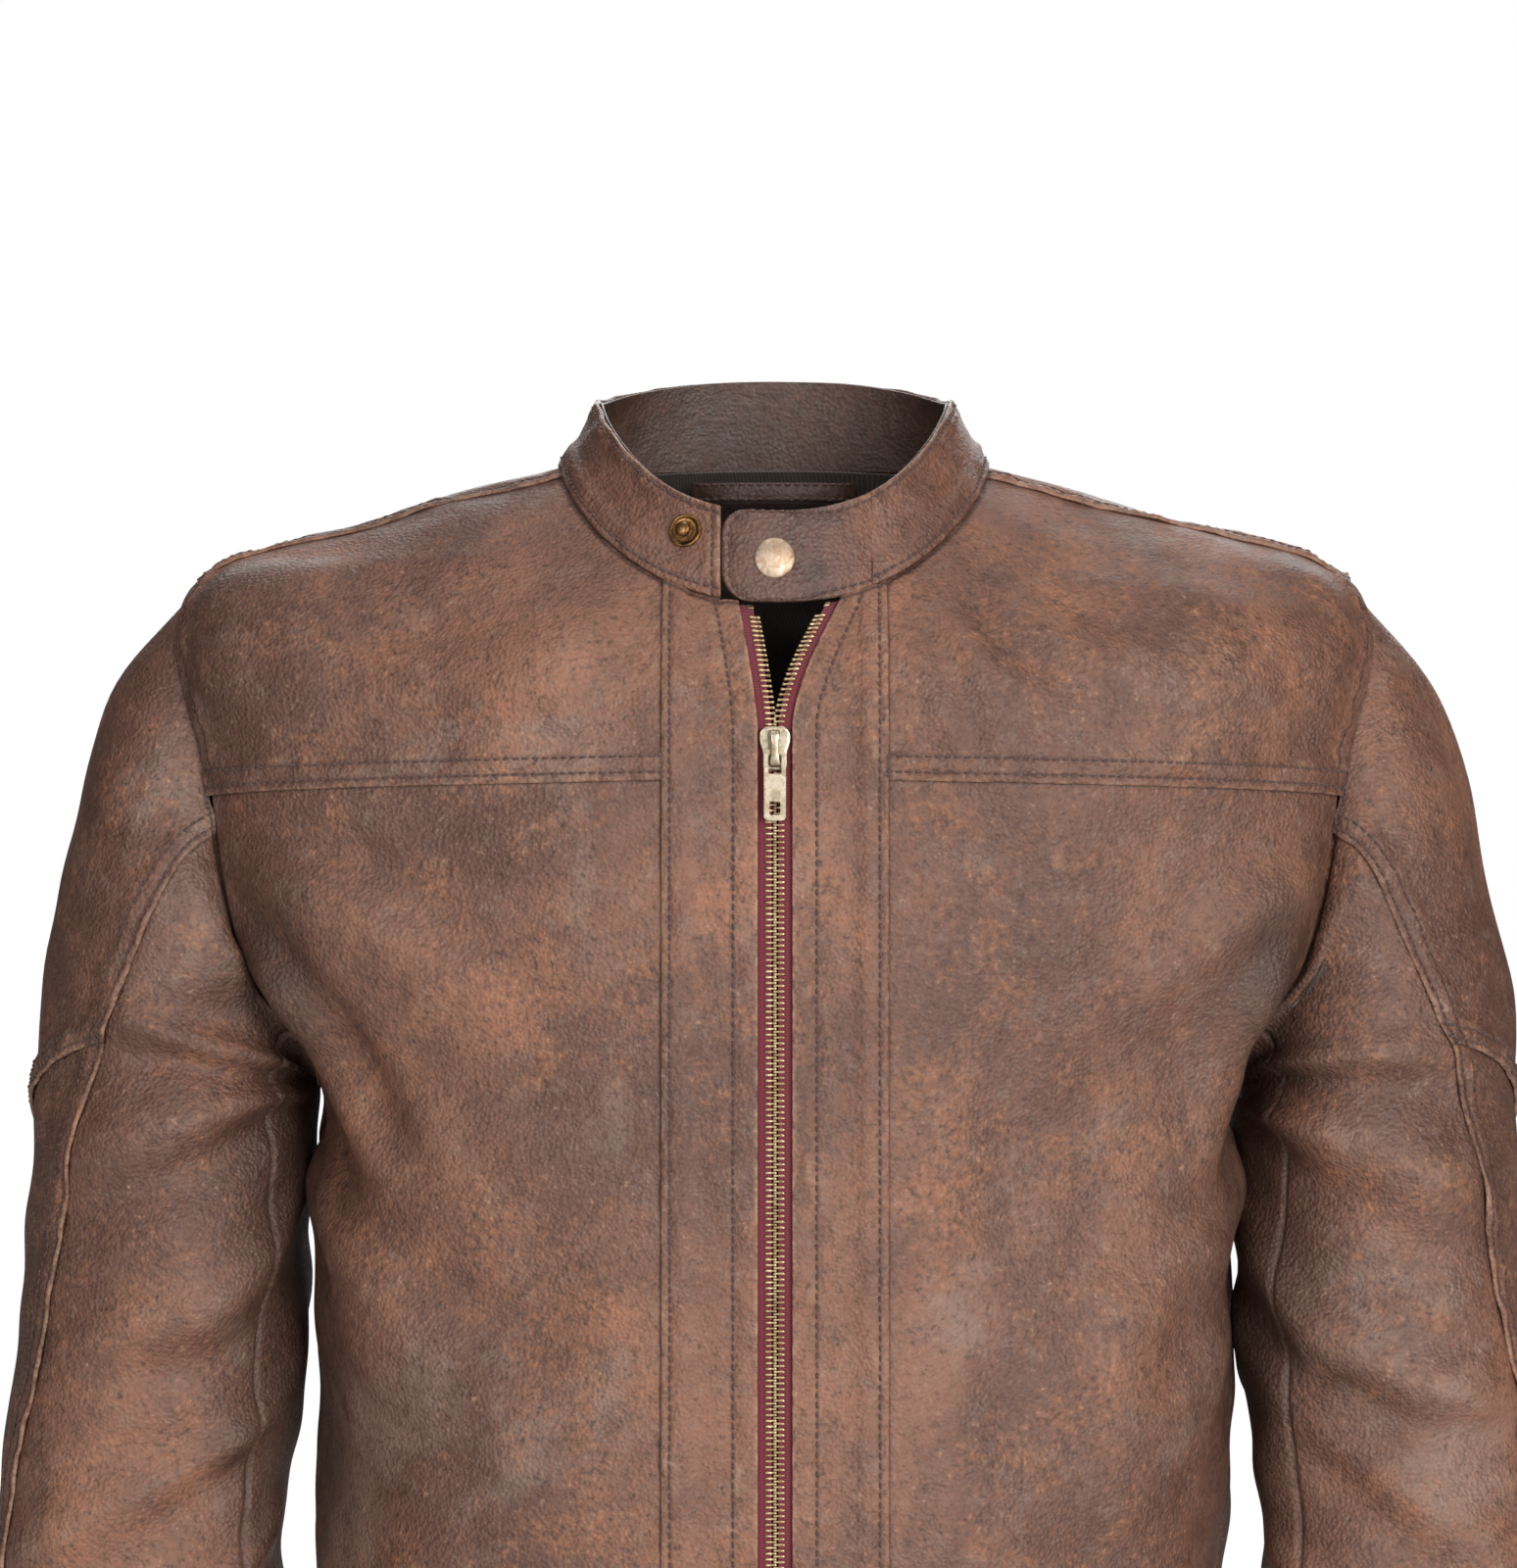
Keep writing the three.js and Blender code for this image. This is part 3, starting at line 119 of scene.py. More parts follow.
bpy.context.scene.view_settings.view_transform = "Standard"
make_camera()
make_world(0.10)
make_floor()
area_light("key", (1.3, -2.7, 0.25), (0, 0, -0.22), (1.3, 1.6), 97, (1.0, 0.99, 0.97))
area_light("fill", (-1.5, -2.6, 0.35), (0, 0, -0.22), (1.3, 1.6), 32, (1.0, 0.985, 0.96))
area_light("top", (0, -0.4, 2.2), (0, 0, -0.2), (1.6, 1.2), 22)
area_light("back", (0.2, 2.6, 1.2), (0, 0, -0.3), (2.2, 2.2), 60)

# ---- Node materials ------------------------------------------------------------------------


class Shader:
    """Builds a node material from a few short calls."""

    def __init__(self, name):
        self.material = bpy.data.materials.new(name)
        self.material.use_nodes = True
        self.nodes = self.material.node_tree.nodes
        self.links = self.material.node_tree.links
        self.bsdf = self.nodes["Principled BSDF"]
        self.place = self.nodes.new("ShaderNodeTexCoord").outputs["Object"]

    def put(self, value, socket):
        if isinstance(value, bpy.types.NodeSocket):
            self.links.new(value, socket)
        else:
            socket.default_value = value

    def mapped(self, scale=(1, 1, 1), turn=(0, 0, 0)):
        node = self.nodes.new("ShaderNodeMapping")
        node.inputs["Scale"].default_value = scale
        node.inputs["Rotation"].default_value = turn
        self.links.new(self.place, node.inputs["Vector"])
        return node.outputs[0]

    def noise(self, scale, detail=3.0, rough=0.55, warp=0.0, vector=None):
        node = self.nodes.new("ShaderNodeTexNoise")
        node.inputs["Scale"].default_value = scale
        node.inputs["Detail"].default_value = detail
        node.inputs["Roughness"].default_value = rough
        node.inputs["Distortion"].default_value = warp
        self.links.new(vector or self.place, node.inputs["Vector"])
        return node.outputs["Fac"]

    def cells(self, scale):
        node = self.nodes.new("ShaderNodeTexVoronoi")
        node.inputs["Scale"].default_value = scale
        self.links.new(self.place, node.inputs["Vector"])
        return node.outputs["Distance"]

    def ribs(self, direction, scale, distortion, detail=2.0):
        node = self.nodes.new("ShaderNodeTexWave")
        node.wave_type = "BANDS"
        node.bands_direction = direction
        node.inputs["Scale"].default_value = scale
        node.inputs["Distortion"].default_value = distortion
        node.inputs["Detail"].default_value = detail
        self.links.new(self.place, node.inputs["Vector"])
        return node.outputs["Fac"]

    def ramp(self, value, low, high, to_low=0.0, to_high=1.0):
        node = self.nodes.new("ShaderNodeMapRange")
        node.interpolation_type = "SMOOTHSTEP"
        ends = {"From Min": low, "From Max": high, "To Min": to_low, "To Max": to_high}
        for key, number in ends.items():
            node.inputs[key].default_value = number
        self.links.new(value, node.inputs["Value"])
        return node.outputs[0]

    def maths(self, kind, a, b):
        node = self.nodes.new("ShaderNodeMath")
        node.operation = kind
        self.put(a, node.inputs[0])
        self.put(b, node.inputs[1])
        return node.outputs[0]

    def blend(self, share, a, b):
        node = self.nodes.new("ShaderNodeMix")
        node.data_type = "RGBA"
        self.put(share, node.inputs[0])
        self.put(a, node.inputs[6])
        self.put(b, node.inputs[7])
        return node.outputs[2]

    def attribute(self, name):
        node = self.nodes.new("ShaderNodeAttribute")
        node.attribute_name = name
        return node.outputs["Fac"]

    def bump(self, height, distance, strength=1.0, onto=None):
        node = self.nodes.new("ShaderNodeBump")
        node.inputs["Distance"].default_value = distance
        node.inputs["Strength"].default_value = strength
        self.links.new(height, node.inputs["Height"])
        if onto is not None:
            self.links.new(onto, node.inputs["Normal"])
        return node.outputs[0]

    def finish(self, colour=None, roughness=None, normal=None, **fixed):
        if colour is not None:
            self.put(colour, self.bsdf.inputs["Base Color"])
        if roughness is not None:
            self.put(roughness, self.bsdf.inputs["Roughness"])
        if normal is not None:
            self.links.new(normal, self.bsdf.inputs["Normal"])
        for key, value in fixed.items():
            self.bsdf.inputs[key.replace("_", " ")].default_value = value
        return self.material


def rgb(red, green, blue):
    """A linear colour from 0-255 display values."""
    return tuple(((v / 255 + 0.055) / 1.055) ** 2.4 for v in (red, green, blue)) + (1.0,)


def leather_material(name, dark, middle, rub, worn, grey, grain=1.0):
    """Oiled nubuck: brown with dark and grey clouds, granular rub marks, pale worn ridges and edges.

    Three attributes of the mesh steer it: wear shows on edges and ridges, a painted-shade attribute
    darkens seams, stitch valleys, the leather under lapped edges and round the underarms, and polish
    lays a smooth dark coat over it."""
    s = Shader(name)
    stretched = s.mapped((1.0, 1.0, 0.7), (0.2, 0.35, 0.1))
    broad = s.noise(6.0, 12.0, 0.68, 0.35, stretched)
    cloud = s.noise(17.0, 12.0, 0.74, 0.25)
    mottle = s.noise(60.0, 10.0, 0.78, 0.2)
    speck = s.noise(340.0, 6.0, 0.74)
    base = s.blend(s.ramp(broad, 0.40, 0.60, 0.15, 0.85), dark, middle)
    base = s.blend(s.ramp(cloud, 0.50, 0.66, 0.0, 0.5), base, dark)
    base = s.blend(s.ramp(s.noise(9.0, 12.0, 0.7, 0.3), 0.53, 0.66, 0.0, 0.5), base, grey)
    base = s.blend(s.ramp(mottle, 0.48, 0.38, 0.0, 0.45), base, dark)
    base = s.blend(s.ramp(s.noise(95.0, 9.0, 0.78, 0.2), 0.52, 0.64, 0.0, 0.28), base, grey)
    # rub marks are granular: clouds broken by the mottling and again by fine specks
    clouded = s.maths("MULTIPLY", s.noise(21.0, 10.0, 0.76, 0.4), 0.5)
    loose = s.maths("ADD", clouded, s.maths("MULTIPLY", mottle, 0.5))
    marks = s.maths("MULTIPLY", s.ramp(loose, 0.48, 0.60), s.ramp(speck, 0.42, 0.60, 0.1, 1.0))
    base = s.blend(s.maths("MULTIPLY", marks, 0.42), base, rub)
    chips = s.maths("MULTIPLY", s.ramp(speck, 0.57, 0.70), s.ramp(cloud, 0.40, 0.58, 0.1, 0.5))
    base = s.blend(chips, base, worn)
    pits = s.ramp(speck, 0.47, 0.34, 0.0, 0.7)
    base = s.blend(pits, base, tuple(0.55 * v for v in dark[:3]) + (1.0,))
    ragged = s.ramp(s.noise(150.0, 8.0, 0.75, 0.3), 0.40, 0.60, 0.0, 1.0)
    base = s.blend(s.maths("MULTIPLY", s.attribute("wear"), ragged), base, worn)
    # painted shade: this attribute of the mesh darkens the colour towards a deep brown in seams, stitch
    # valleys, under lapped edges and round the underarms
    shade = s.ramp(s.attribute("painted_shade"), 0.0, 1.0, 0.0, 0.8)
    base = s.blend(shade, base, tuple(0.35 * v for v in dark[:3]) + (1.0,))
    polish = s.attribute("polish")
    smooth_coat = s.blend(s.ramp(mottle, 0.35, 0.62), rgb(44, 27, 23), rgb(84, 56, 48))
    base = s.blend(s.maths("MULTIPLY", polish, 0.85), base, smooth_coat)
    matt = s.ramp(mottle, 0.35, 0.65, 0.44, 0.62)
    rough = s.maths("SUBTRACT", matt, s.maths("MULTIPLY", polish, 0.14))
    pores = s.cells(620.0)
    wrinkle = s.noise(300.0, 6.0, 0.7, 1.4, s.mapped((1.0, 1.0, 0.6), (0, 0.5, 0)))
    creases = s.noise(60.0, 9.0, 0.68, 1.1)
    normal = s.bump(creases, 0.0018, 0.5)
    normal = s.bump(wrinkle, 0.0005 * grain, 0.7, normal)
    normal = s.bump(pores, 0.0006 * grain, 0.85, normal)
    return s.finish(base, rough, normal, Specular_IOR_Level=0.5)


DARK, MIDDLE = rgb(76, 50, 40), rgb(130, 88, 69)
RUB, WORN, GREY = rgb(162, 106, 74), rgb(176, 138, 112), rgb(128, 108, 97)
LEATHER = leather_material("leather_brown", DARK, MIDDLE, RUB, WORN, GREY)
FACING_LEATHER = leather_material(
    "leather_facing", rgb(62, 43, 36), rgb(82, 58, 48), rgb(104, 70, 52), rgb(122, 92, 76),
    rgb(82, 68, 62), 0.5
)


def lining_material():
    """Dark twill: fine slanting ribs across a soft satin cloth."""
    s = Shader("lining_twill")
    ribs = s.ribs("DIAGONAL", 420.0, 0.6)
    cloud = s.ramp(s.noise(22.0, 4.0), 0.35, 0.65)
    colour = s.blend(cloud, rgb(44, 34, 31), rgb(58, 45, 40))
    colour = s.blend(s.ramp(ribs, 0.2, 0.9, 0.0, 0.4), colour, rgb(84, 68, 60))
    normal = s.bump(ribs, 0.00025, 0.6)
    rough = s.ramp(cloud, 0, 1, 0.46, 0.6)
    return s.finish(colour, rough, normal, Sheen_Weight=0.3, Sheen_Roughness=0.4)


def tape_material():
    """Woven zip tape: two crossing sets of fine ribs."""
    s = Shader("zip_tape_weave")
    weave = s.maths("MULTIPLY", s.ribs("X", 520.0, 0.8, 1.0), s.ribs("Z", 330.0, 0.8, 1.0))
    colour = s.blend(s.ramp(weave, 0.05, 0.6), rgb(84, 16, 32), rgb(138, 36, 58))
    colour = s.blend(s.ramp(s.noise(60.0, 4.0), 0.4, 0.7, 0.0, 0.35), colour, rgb(104, 26, 40))
    normal = s.bump(weave, 0.00035, 0.8)
    return s.finish(colour, 0.8, normal, Sheen_Weight=0.25, Sheen_Roughness=0.5)


def metal_material(name, bright, dull, stain, stain_share, scratch=0.5, fine=500.0, rough=(0.3, 0.5)):
    """Cast and plated metal with stained hollows and fine scratches."""
    s = Shader(name)
    cloud = s.noise(160.0, 5.0, 0.66, 0.8)
    fleck = s.noise(fine, 4.0, 0.7, 0.5)
    colour = s.blend(s.ramp(cloud, 0.35, 0.65), bright, dull)
    colour = s.blend(s.ramp(fleck, 0.5, 0.7, 0.0, stain_share), colour, stain)
    lines = s.noise(900.0, 3.0, 0.6, 0.2, s.mapped((0.12, 1.0, 1.0), (0.3, 0.8, 0.2)))
    normal = s.bump(lines, 0.00006, scratch)
    normal = s.bump(fleck, 0.00008, 0.6, normal)
    return s.finish(colour, s.ramp(cloud, 0.3, 0.7, *rough), normal, Metallic=1.0)


def thread_material():
    s = Shader("thread_brown")
    twist = s.noise(1600.0, 2.0, 0.5)
    colour = s.blend(s.ramp(twist, 0.35, 0.65), rgb(44, 22, 17), rgb(82, 48, 38))
    return s.finish(colour, 0.6, s.bump(twist, 0.0002, 0.5), Sheen_Weight=0.2)


LINING = lining_material()
TAPE = tape_material()
THREAD = thread_material()
BRASS = metal_material("antique_brass", rgb(206, 184, 150), rgb(160, 132, 98), rgb(74, 52, 38), 0.6)
NICKEL = metal_material("antique_nickel", rgb(204, 192, 172), rgb(150, 136, 114), rgb(80, 64, 50), 0.55)
STUD_BRASS = metal_material("dark_brass", rgb(150, 112, 70), rgb(86, 60, 38), rgb(34, 22, 16), 0.8)
CAP_METAL = metal_material(
    "worn_cap", rgb(205, 186, 166), rgb(168, 142, 120), rgb(140, 88, 58), 0.6, 1.0, 320.0, (0.46, 0.64)
)

# ---- Surfaces ------------------------------------------------------------------------------
# The same torso, sleeve and collar surfaces as the fixed frame, so each piece lies on its node.

BODY_LENGTH, ARMHOLE_DEPTH = 660.0, 240.0
NECK_HALF, NECK_DROP, NECK_REACH = 82.0, 57.0, 93.0
OPENING_RISE = 46.0
OPENING_SHIFTS = {1: (18, 1.6), -1: (7, 1.3)}
HEM_REACH, CHEST_REACH = 124.0, 112.0
POWER = 0.833
STRAIGHT_TOP = -(NECK_DROP + OPENING_RISE)
FRONT_SLOPE = (HEM_REACH - CHEST_REACH) / (BODY_LENGTH + STRAIGHT_TOP)
NECK_CURVE = (CHEST_REACH - FRONT_SLOPE * OPENING_RISE - NECK_REACH) / OPENING_RISE**2
UNDERARM, YOKE, NECK = 4.0, 6.0, 8.0


def below_arm(share):
    """The heights of a level ring, a share of the way from the underarm to the hem."""
    return 3 * (-ARMHOLE_DEPTH - share * (BODY_LENGTH - ARMHOLE_DEPTH),)


# Rings of the torso: half width, side, front and rear heights, middle y, back y.
TORSO_RINGS = np.array(
    [
        (178, *below_arm(1), -3, 116),
        (174, *below_arm(0.757), -3, 112),
        (170, *below_arm(0.524), -3, 106),
        (174, *below_arm(0.24), -2, 113),
        (174, *below_arm(0), 0, 123),
        (212, -190, -185, -185, 2, 126),
        (226, -115, -121, -110, 4, 121),
        (218, -44, -86, -45, 5, 98),
        (82, -2, -57, 2, 0, 64),
    ],
    float,
)


def lerp(a, b, share):
    return a + (b - a) * share


def smooth(low, high, value):
    share = np.clip((value - low) / (high - low), 0, 1)
    return share * share * (3 - 2 * share)


def bell(value, middle, width):
    """A bump of height 1 at the middle that falls away over the width."""
    return np.exp(-(((value - middle) / width) ** 2))


def unit(vectors):
    return vectors / np.maximum(np.linalg.norm(vectors, axis=-1, keepdims=True), 1e-12)


def run_along(places, axis=0):
    """The length along a line or grid of points, from its first point to each."""
    steps = np.linalg.norm(np.diff(places, axis=axis), axis=-1)
    return np.insert(np.cumsum(steps, axis), 0, 0, axis)


def picked(at, run, values):
    """Vectors of a line at given lengths along it."""
    return np.stack([np.interp(at, run, values[:, k]) for k in range(3)], -1)


def past_ends(rows):
    """Rows of values with one more at each end, straight on."""
    return np.concatenate([[2 * rows[0] - rows[1]], rows, [2 * rows[-1] - rows[-2]]])


def spline(before, a, b, after, share):
    bend = 2 * before - 5 * a + 4 * b - after
    twist = 3 * (a - b) + after - before
    return a + 0.5 * share * (b - before + share * (bend + share * twist))


def through(values, at):
    """A smooth curve through evenly spaced rows of values, straight on past its ends."""
    extended = past_ends(values)
    i = np.clip(np.floor(at).astype(int), 0, len(values) - 2)
    share = at - i
    if values.ndim > 1:
        share = share[..., None]
    return spline(*(extended[i + k] for k in range(4)), share)


def front_y(z):
    above = z - STRAIGHT_TOP
    return -CHEST_REACH + FRONT_SLOPE * above + np.where(above > 0, NECK_CURVE * above**2, 0)


def ring_point(half, side, front, rear, middle, back, reach, theta):
    sine, cosine = np.sin(np.radians(theta)), np.cos(np.radians(theta))
    spread = np.abs(cosine) ** POWER
    x = half * np.sign(sine) * np.abs(sine) ** POWER
    y = np.where(cosine > 0, middle - (middle + reach) * spread, middle + (back - middle) * spread)
    z = side + (np.where(cosine > 0, front, rear) - side) * np.abs(cosine) ** 1.5
    return np.stack([x, y, z], -1)


def torso(theta, t):
    half, side, front, rear, middle, back = np.moveaxis(through(TORSO_RINGS, t), -1, 0)
    return ring_point(half, side, front, rear, middle, back, -front_y(front), theta)


def theta_at(x, half):
    return np.degrees(np.arcsin(np.clip(x / half, -1, 1) ** (1 / POWER)))


def torso_theta_at(x, t):
    return theta_at(x, through(TORSO_RINGS[:, 0], t))


def row_at_front(z):
    low, high = np.zeros(np.shape(z)), np.full(np.shape(z), float(NECK))
    for _ in range(40):
        middle = (low + high) / 2
        below = through(TORSO_RINGS[:, 2], middle) < z
        low, high = np.where(below, middle, low), np.where(below, high, middle)
    return low


ARMHOLE_MIDDLE = (UNDERARM + 7) / 2
YOKE_PHI = math.degrees(math.acos((YOKE - 0.15 - ARMHOLE_MIDDLE) / (7 - ARMHOLE_MIDDLE)))
SHOULDER_PHI = 16.0
TIP_LEVEL = 7.25
NECK_THETA = 78.0
PLACKET_EDGE, FACING_EDGE = 40.0, 60.0
SLOT_HALF = 6.3
STRAIGHT_ROW = row_at_front(STRAIGHT_TOP)


def armhole(phi):
    sine, cosine = np.sin(np.radians(phi)), np.cos(np.radians(phi))
    theta = 90 + np.where(sine > 0, -21 * sine, -25 * sine)
    return theta, ARMHOLE_MIDDLE + (7 - ARMHOLE_MIDDLE) * cosine


def sleeve_ring(outer_x, outer_z, inner_x, inner_z, middle, depth):
    centre = ((outer_x + inner_x) / 2, middle, (outer_z + inner_z) / 2)
    return centre + ((outer_x - inner_x) / 2, 0, (outer_z - inner_z) / 2) + (depth,)


def hanging_ring(half, gap, share, tilt, middle, depth):
    inner, z = 177 + gap, -44 - share * 640
    return sleeve_ring(inner + 2 * half, z + tilt, inner, z - tilt, middle, depth)


SLEEVE_RINGS = np.array(
    [
        sleeve_ring(258, -95, 177, -237, 6, 62),
        sleeve_ring(279, -180, 177, -242, 6, 63),
        sleeve_ring(285, -245, 177, -265, 6, 62),
        hanging_ring(55, 4, 0.4625, 5, 4, 60),
        hanging_ring(56, 11, 0.556, 4, 5, 57),
        hanging_ring(51, 24, 0.72, 3, -12, 54),
        hanging_ring(46, 35, 0.869, 2, -38, 48),
        hanging_ring(43, 42, 0.975, 2, -58, 45),
    ],
    float,
)
SEAM_EDGE = np.array([84, 80, 70, 56, 42, 38, 36, 34, 32], float)
CAP_SIDE, CAP_TIP, CUFF, INNER_SEAM = 2.45, 3.1, 8.0, 140.0


def sleeve(phi, s):
    """phi runs round the sleeve from its outer line towards the front, s down to the cuff."""
    sine, cosine = np.sin(np.radians(phi))[..., None], np.cos(np.radians(phi))[..., None]
    rings = [torso(*armhole(phi))]
    for ring in SLEEVE_RINGS:
        rings.append(ring[:3] + ring[3:6] * cosine - np.array((0, ring[6], 0)) * sine)
    extended = past_ends(np.stack(rings))
    i = np.clip(np.floor(s).astype(int), 0, len(rings) - 2)
    near = [np.take_along_axis(extended, (i + k)[None, ..., None], 0)[0] for k in range(4)]
    return spline(*near, (s - i)[..., None])


COLLAR_TOP_HALF = 68
COLLAR_TOP = dict(half=COLLAR_TOP_HALF, side=24, front=-23, rear=35, middle=4, back=59, reach=87)


def collar(theta, w):
    top = ring_point(theta=theta, **COLLAR_TOP)
    low = torso(theta, np.full_like(theta, NECK))
    return low + (top - low) * w[..., None]


def collar_half(w):
    return lerp(NECK_HALF, COLLAR_TOP_HALF, w)


def collar_theta(x, w):
    return theta_at(np.abs(x), collar_half(w)) * np.where(x < 0, -1, 1)


def normals(surface, a, b, step=1e-3):
    along_a = surface(a + step, b) - surface(a - step, b)
    along_b = surface(a, b + step) - surface(a, b - step)
    return unit(np.cross(along_a, along_b))


# ---- Folds ---------------------------------------------------------------------------------


class Waves:
    """Smooth seeded 3-D noise: sums of cosine waves of about one wavelength."""

    def __init__(self, seed, wavelength, stretch=(1, 1, 1), count=26):
        draw = np.random.default_rng(seed)
        ways = draw.normal(size=(count, 3))
        ways /= np.linalg.norm(ways, axis=1, keepdims=True)
        lengths = wavelength * draw.uniform(0.7, 1.5, (count, 1))
        self.ways = 2 * math.pi * ways / lengths / np.array(stretch, float)
        self.phases = draw.uniform(0, 2 * math.pi, count)
        self.gain = math.sqrt(2 / count)

    def __call__(self, points):
        return self.gain * np.cos(points @ self.ways.T + self.phases).sum(-1)


BROAD = Waves(3, 120, (1, 1, 1.5))
SOFT = Waves(5, 55, (1, 1, 1.4))
CREASE = Waves(8, 24, (1.4, 1, 1))
SLEEVE_BROAD = Waves(11, 90, (1, 1, 0.9))
SLEEVE_SOFT = Waves(13, 38, (1.3, 1.2, 0.8))


def ridge(points, start, end, width, height, lean=0.0):
    """A fold along a line in X and Z: a rounded crest with a hollow beside it."""
    a, b = np.array(start, float), np.array(end, float)
    flat = points[..., [0, 2]] - a
    way = b - a
    length = np.linalg.norm(way)
    way = way / length
    along = flat @ way
    across = flat @ np.array((-way[1], way[0]))
    share = np.clip(along / length, -0.4, 1.4)
    across = across - lean * np.sin(math.pi * np.clip(share, 0, 1)) * length
    fade = smooth(-0.25, 0.25, share) * (1 - smooth(0.7, 1.3, share))
    crest = bell(across, 0, width)
    hollow = bell(across, 1.7 * width, 0.9 * width)
    return height * fade * (crest - 0.55 * hollow)


# Folds of the front: start, end, width, height, bow. The first list is on the wearer's right.
FRONT_FOLDS = {
    -1: [
        ((-206, -180), (-146, -268), 8, 6.0, 0.06),
        ((-206, -205), (-168, -290), 7, 4.6, 0.05),
        ((-205, -158), (-122, -196), 11, 3.2, 0.08),
        ((-178, -270), (-118, -336), 13, 3.2, -0.05),
        ((-160, -330), (-90, -372), 16, 2.4, 0.04),
        ((-150, -95), (-70, -75), 15, 2.0, 0.05),
        ((-58, -60), (-112, -98), 9, 2.0, 0.04),
        ((-64, -78), (-120, -120), 8, 1.4, 0.05),
    ],
    1: [
        ((200, -176), (156, -262), 8, 6.2, -0.06),
        ((206, -205), (172, -292), 7, 4.8, -0.05),
        ((204, -158), (134, -210), 11, 3.8, -0.07),
        ((174, -262), (126, -330), 12, 3.4, 0.05),
        ((160, -300), (150, -380), 10, 2.6, 0.05),
        ((60, -58), (98, -96), 7, 2.4, -0.05),
        ((78, -56), (138, -86), 8, 2.2, -0.04),
        ((50, -72), (68, -116), 6, 2.0, 0.03),
        ((66, -70), (84, -120), 6, 1.5, 0.04),
    ],
}
BACK_FOLDS = [
    ((-196, -180), (-118, -252), 11, 4.6, 0.05),
    ((-192, -230), (-130, -320), 12, 3.6, 0.05),
    ((194, -186), (110, -262), 11, 4.8, -0.05),
    ((190, -240), (134, -330), 12, 3.4, -0.05),
    ((-70, -66), (64, -76), 16, 2.0, 0.03),
    ((-150, -420), (-50, -474), 15, 3.0, 0.04),
    ((150, -400), (40, -462), 15, 3.2, -0.04),
    ((-130, -520), (70, -500), 18, 2.4, 0.02),
    ((-60, -570), (140, -590), 18, 2.2, -0.02),
]


POCKET_TOP, POCKET_BOTTOM = (102.0, -440.0), (112.0, -575.0)
POCKET_SLOT_HALF, WELT_HALF, WELT_MARGIN = 5.82, 11.0, 8.0


def pocket_offset(points):
    """How far points lie beside the pocket's line, and beyond its ends."""
    x, z = np.abs(points[..., 0]), points[..., 2]
    share = (z - POCKET_BOTTOM[1]) / (POCKET_TOP[1] - POCKET_BOTTOM[1])
    beside = np.abs(x - (POCKET_BOTTOM[0] + (POCKET_TOP[0] - POCKET_BOTTOM[0]) * share))
    return beside, np.maximum(z - POCKET_TOP[1], POCKET_BOTTOM[1] - z)


def beside_pocket(points, margin, run):
    beside, beyond = pocket_offset(points)
    return (beside < POCKET_SLOT_HALF + margin) & (beyond < run)


def armhole_distance(points):
    """How far points of the torso lie from the seam that holds the sleeve."""
    seam = torso(*armhole(np.linspace(0, 360, 90)))
    place = np.abs(points) * (1, 0, 0) + points * (0, 1, 1)
    return np.sqrt(((place[..., None, :] - seam) ** 2).sum(-1).min(-1))


def torso_relief(points, theta, t):
    """How far the worn body stands off its surface, along the normal."""
    z = points[..., 2]
    near_zip = smooth(45, 95, np.abs(points[..., 0]))
    quiet = smooth(8.0, 7.6, t)
    front = (np.cos(np.radians(theta)) > 0).astype(float)
    held = np.where(front > 0, np.maximum(near_zip, 0.05), 1.0) * quiet
    low = smooth(-150, -400, z)
    lift = (2.0 + 1.4 * low) * BROAD(points) + (0.6 + 0.6 * low) * SOFT(points) + 0.35 * CREASE(points)
    beside, beyond = pocket_offset(points)
    zipped = (1 - smooth(16, 34, beside)) * (1 - smooth(8, 30, beyond)) * front
    lift = lift * held * (1 - zipped)
    side = np.where(points[..., 0] > 0, 1, -1)
    for which, folds in FRONT_FOLDS.items():
        for start, end, width, height, lean in folds:
            lift = lift + 1.2 * (side == which) * front * ridge(points, start, end, width, height, lean)
    for start, end, width, height, lean in BACK_FOLDS:
        lift = lift + (1 - front) * ridge(points, start, end, width, height, lean)
    return lift * lerp(0.1, 1.0, smooth(2.0, 26.0, armhole_distance(points)))


# Folds of a sleeve round it and down it: angle, ring, angle to, ring to, width, height.
SLEEVE_FOLDS = {
    1: [
        (150, 1.6, 70, 2.5, 0.16, 6.0),
        (160, 2.5, 60, 3.3, 0.16, 5.5),
        (165, 3.4, 50, 4.3, 0.17, 5.0),
        (120, 4.6, 30, 5.3, 0.14, 3.6),
        (150, 5.2, 60, 5.7, 0.12, 4.4),
        (130, 5.9, 40, 6.4, 0.12, 3.6),
        (150, 6.6, 50, 6.9, 0.10, 3.2),
        (210, 2.0, 290, 2.9, 0.16, 4.5),
        (200, 4.2, 300, 5.0, 0.15, 4.2),
        (210, 5.6, 300, 6.2, 0.13, 3.4),
    ],
    -1: [
        (155, 1.5, 80, 2.2, 0.15, 5.6),
        (150, 2.3, 60, 3.2, 0.17, 5.2),
        (160, 3.3, 70, 3.9, 0.15, 4.2),
        (140, 4.4, 40, 5.2, 0.15, 4.0),
        (155, 5.1, 70, 5.5, 0.11, 4.2),
        (140, 5.7, 30, 6.3, 0.12, 3.8),
        (150, 6.5, 60, 7.0, 0.10, 3.0),
        (205, 1.8, 280, 2.6, 0.16, 4.6),
        (210, 3.9, 300, 4.7, 0.15, 4.0),
        (200, 5.4, 290, 6.0, 0.12, 3.8),
    ],
}


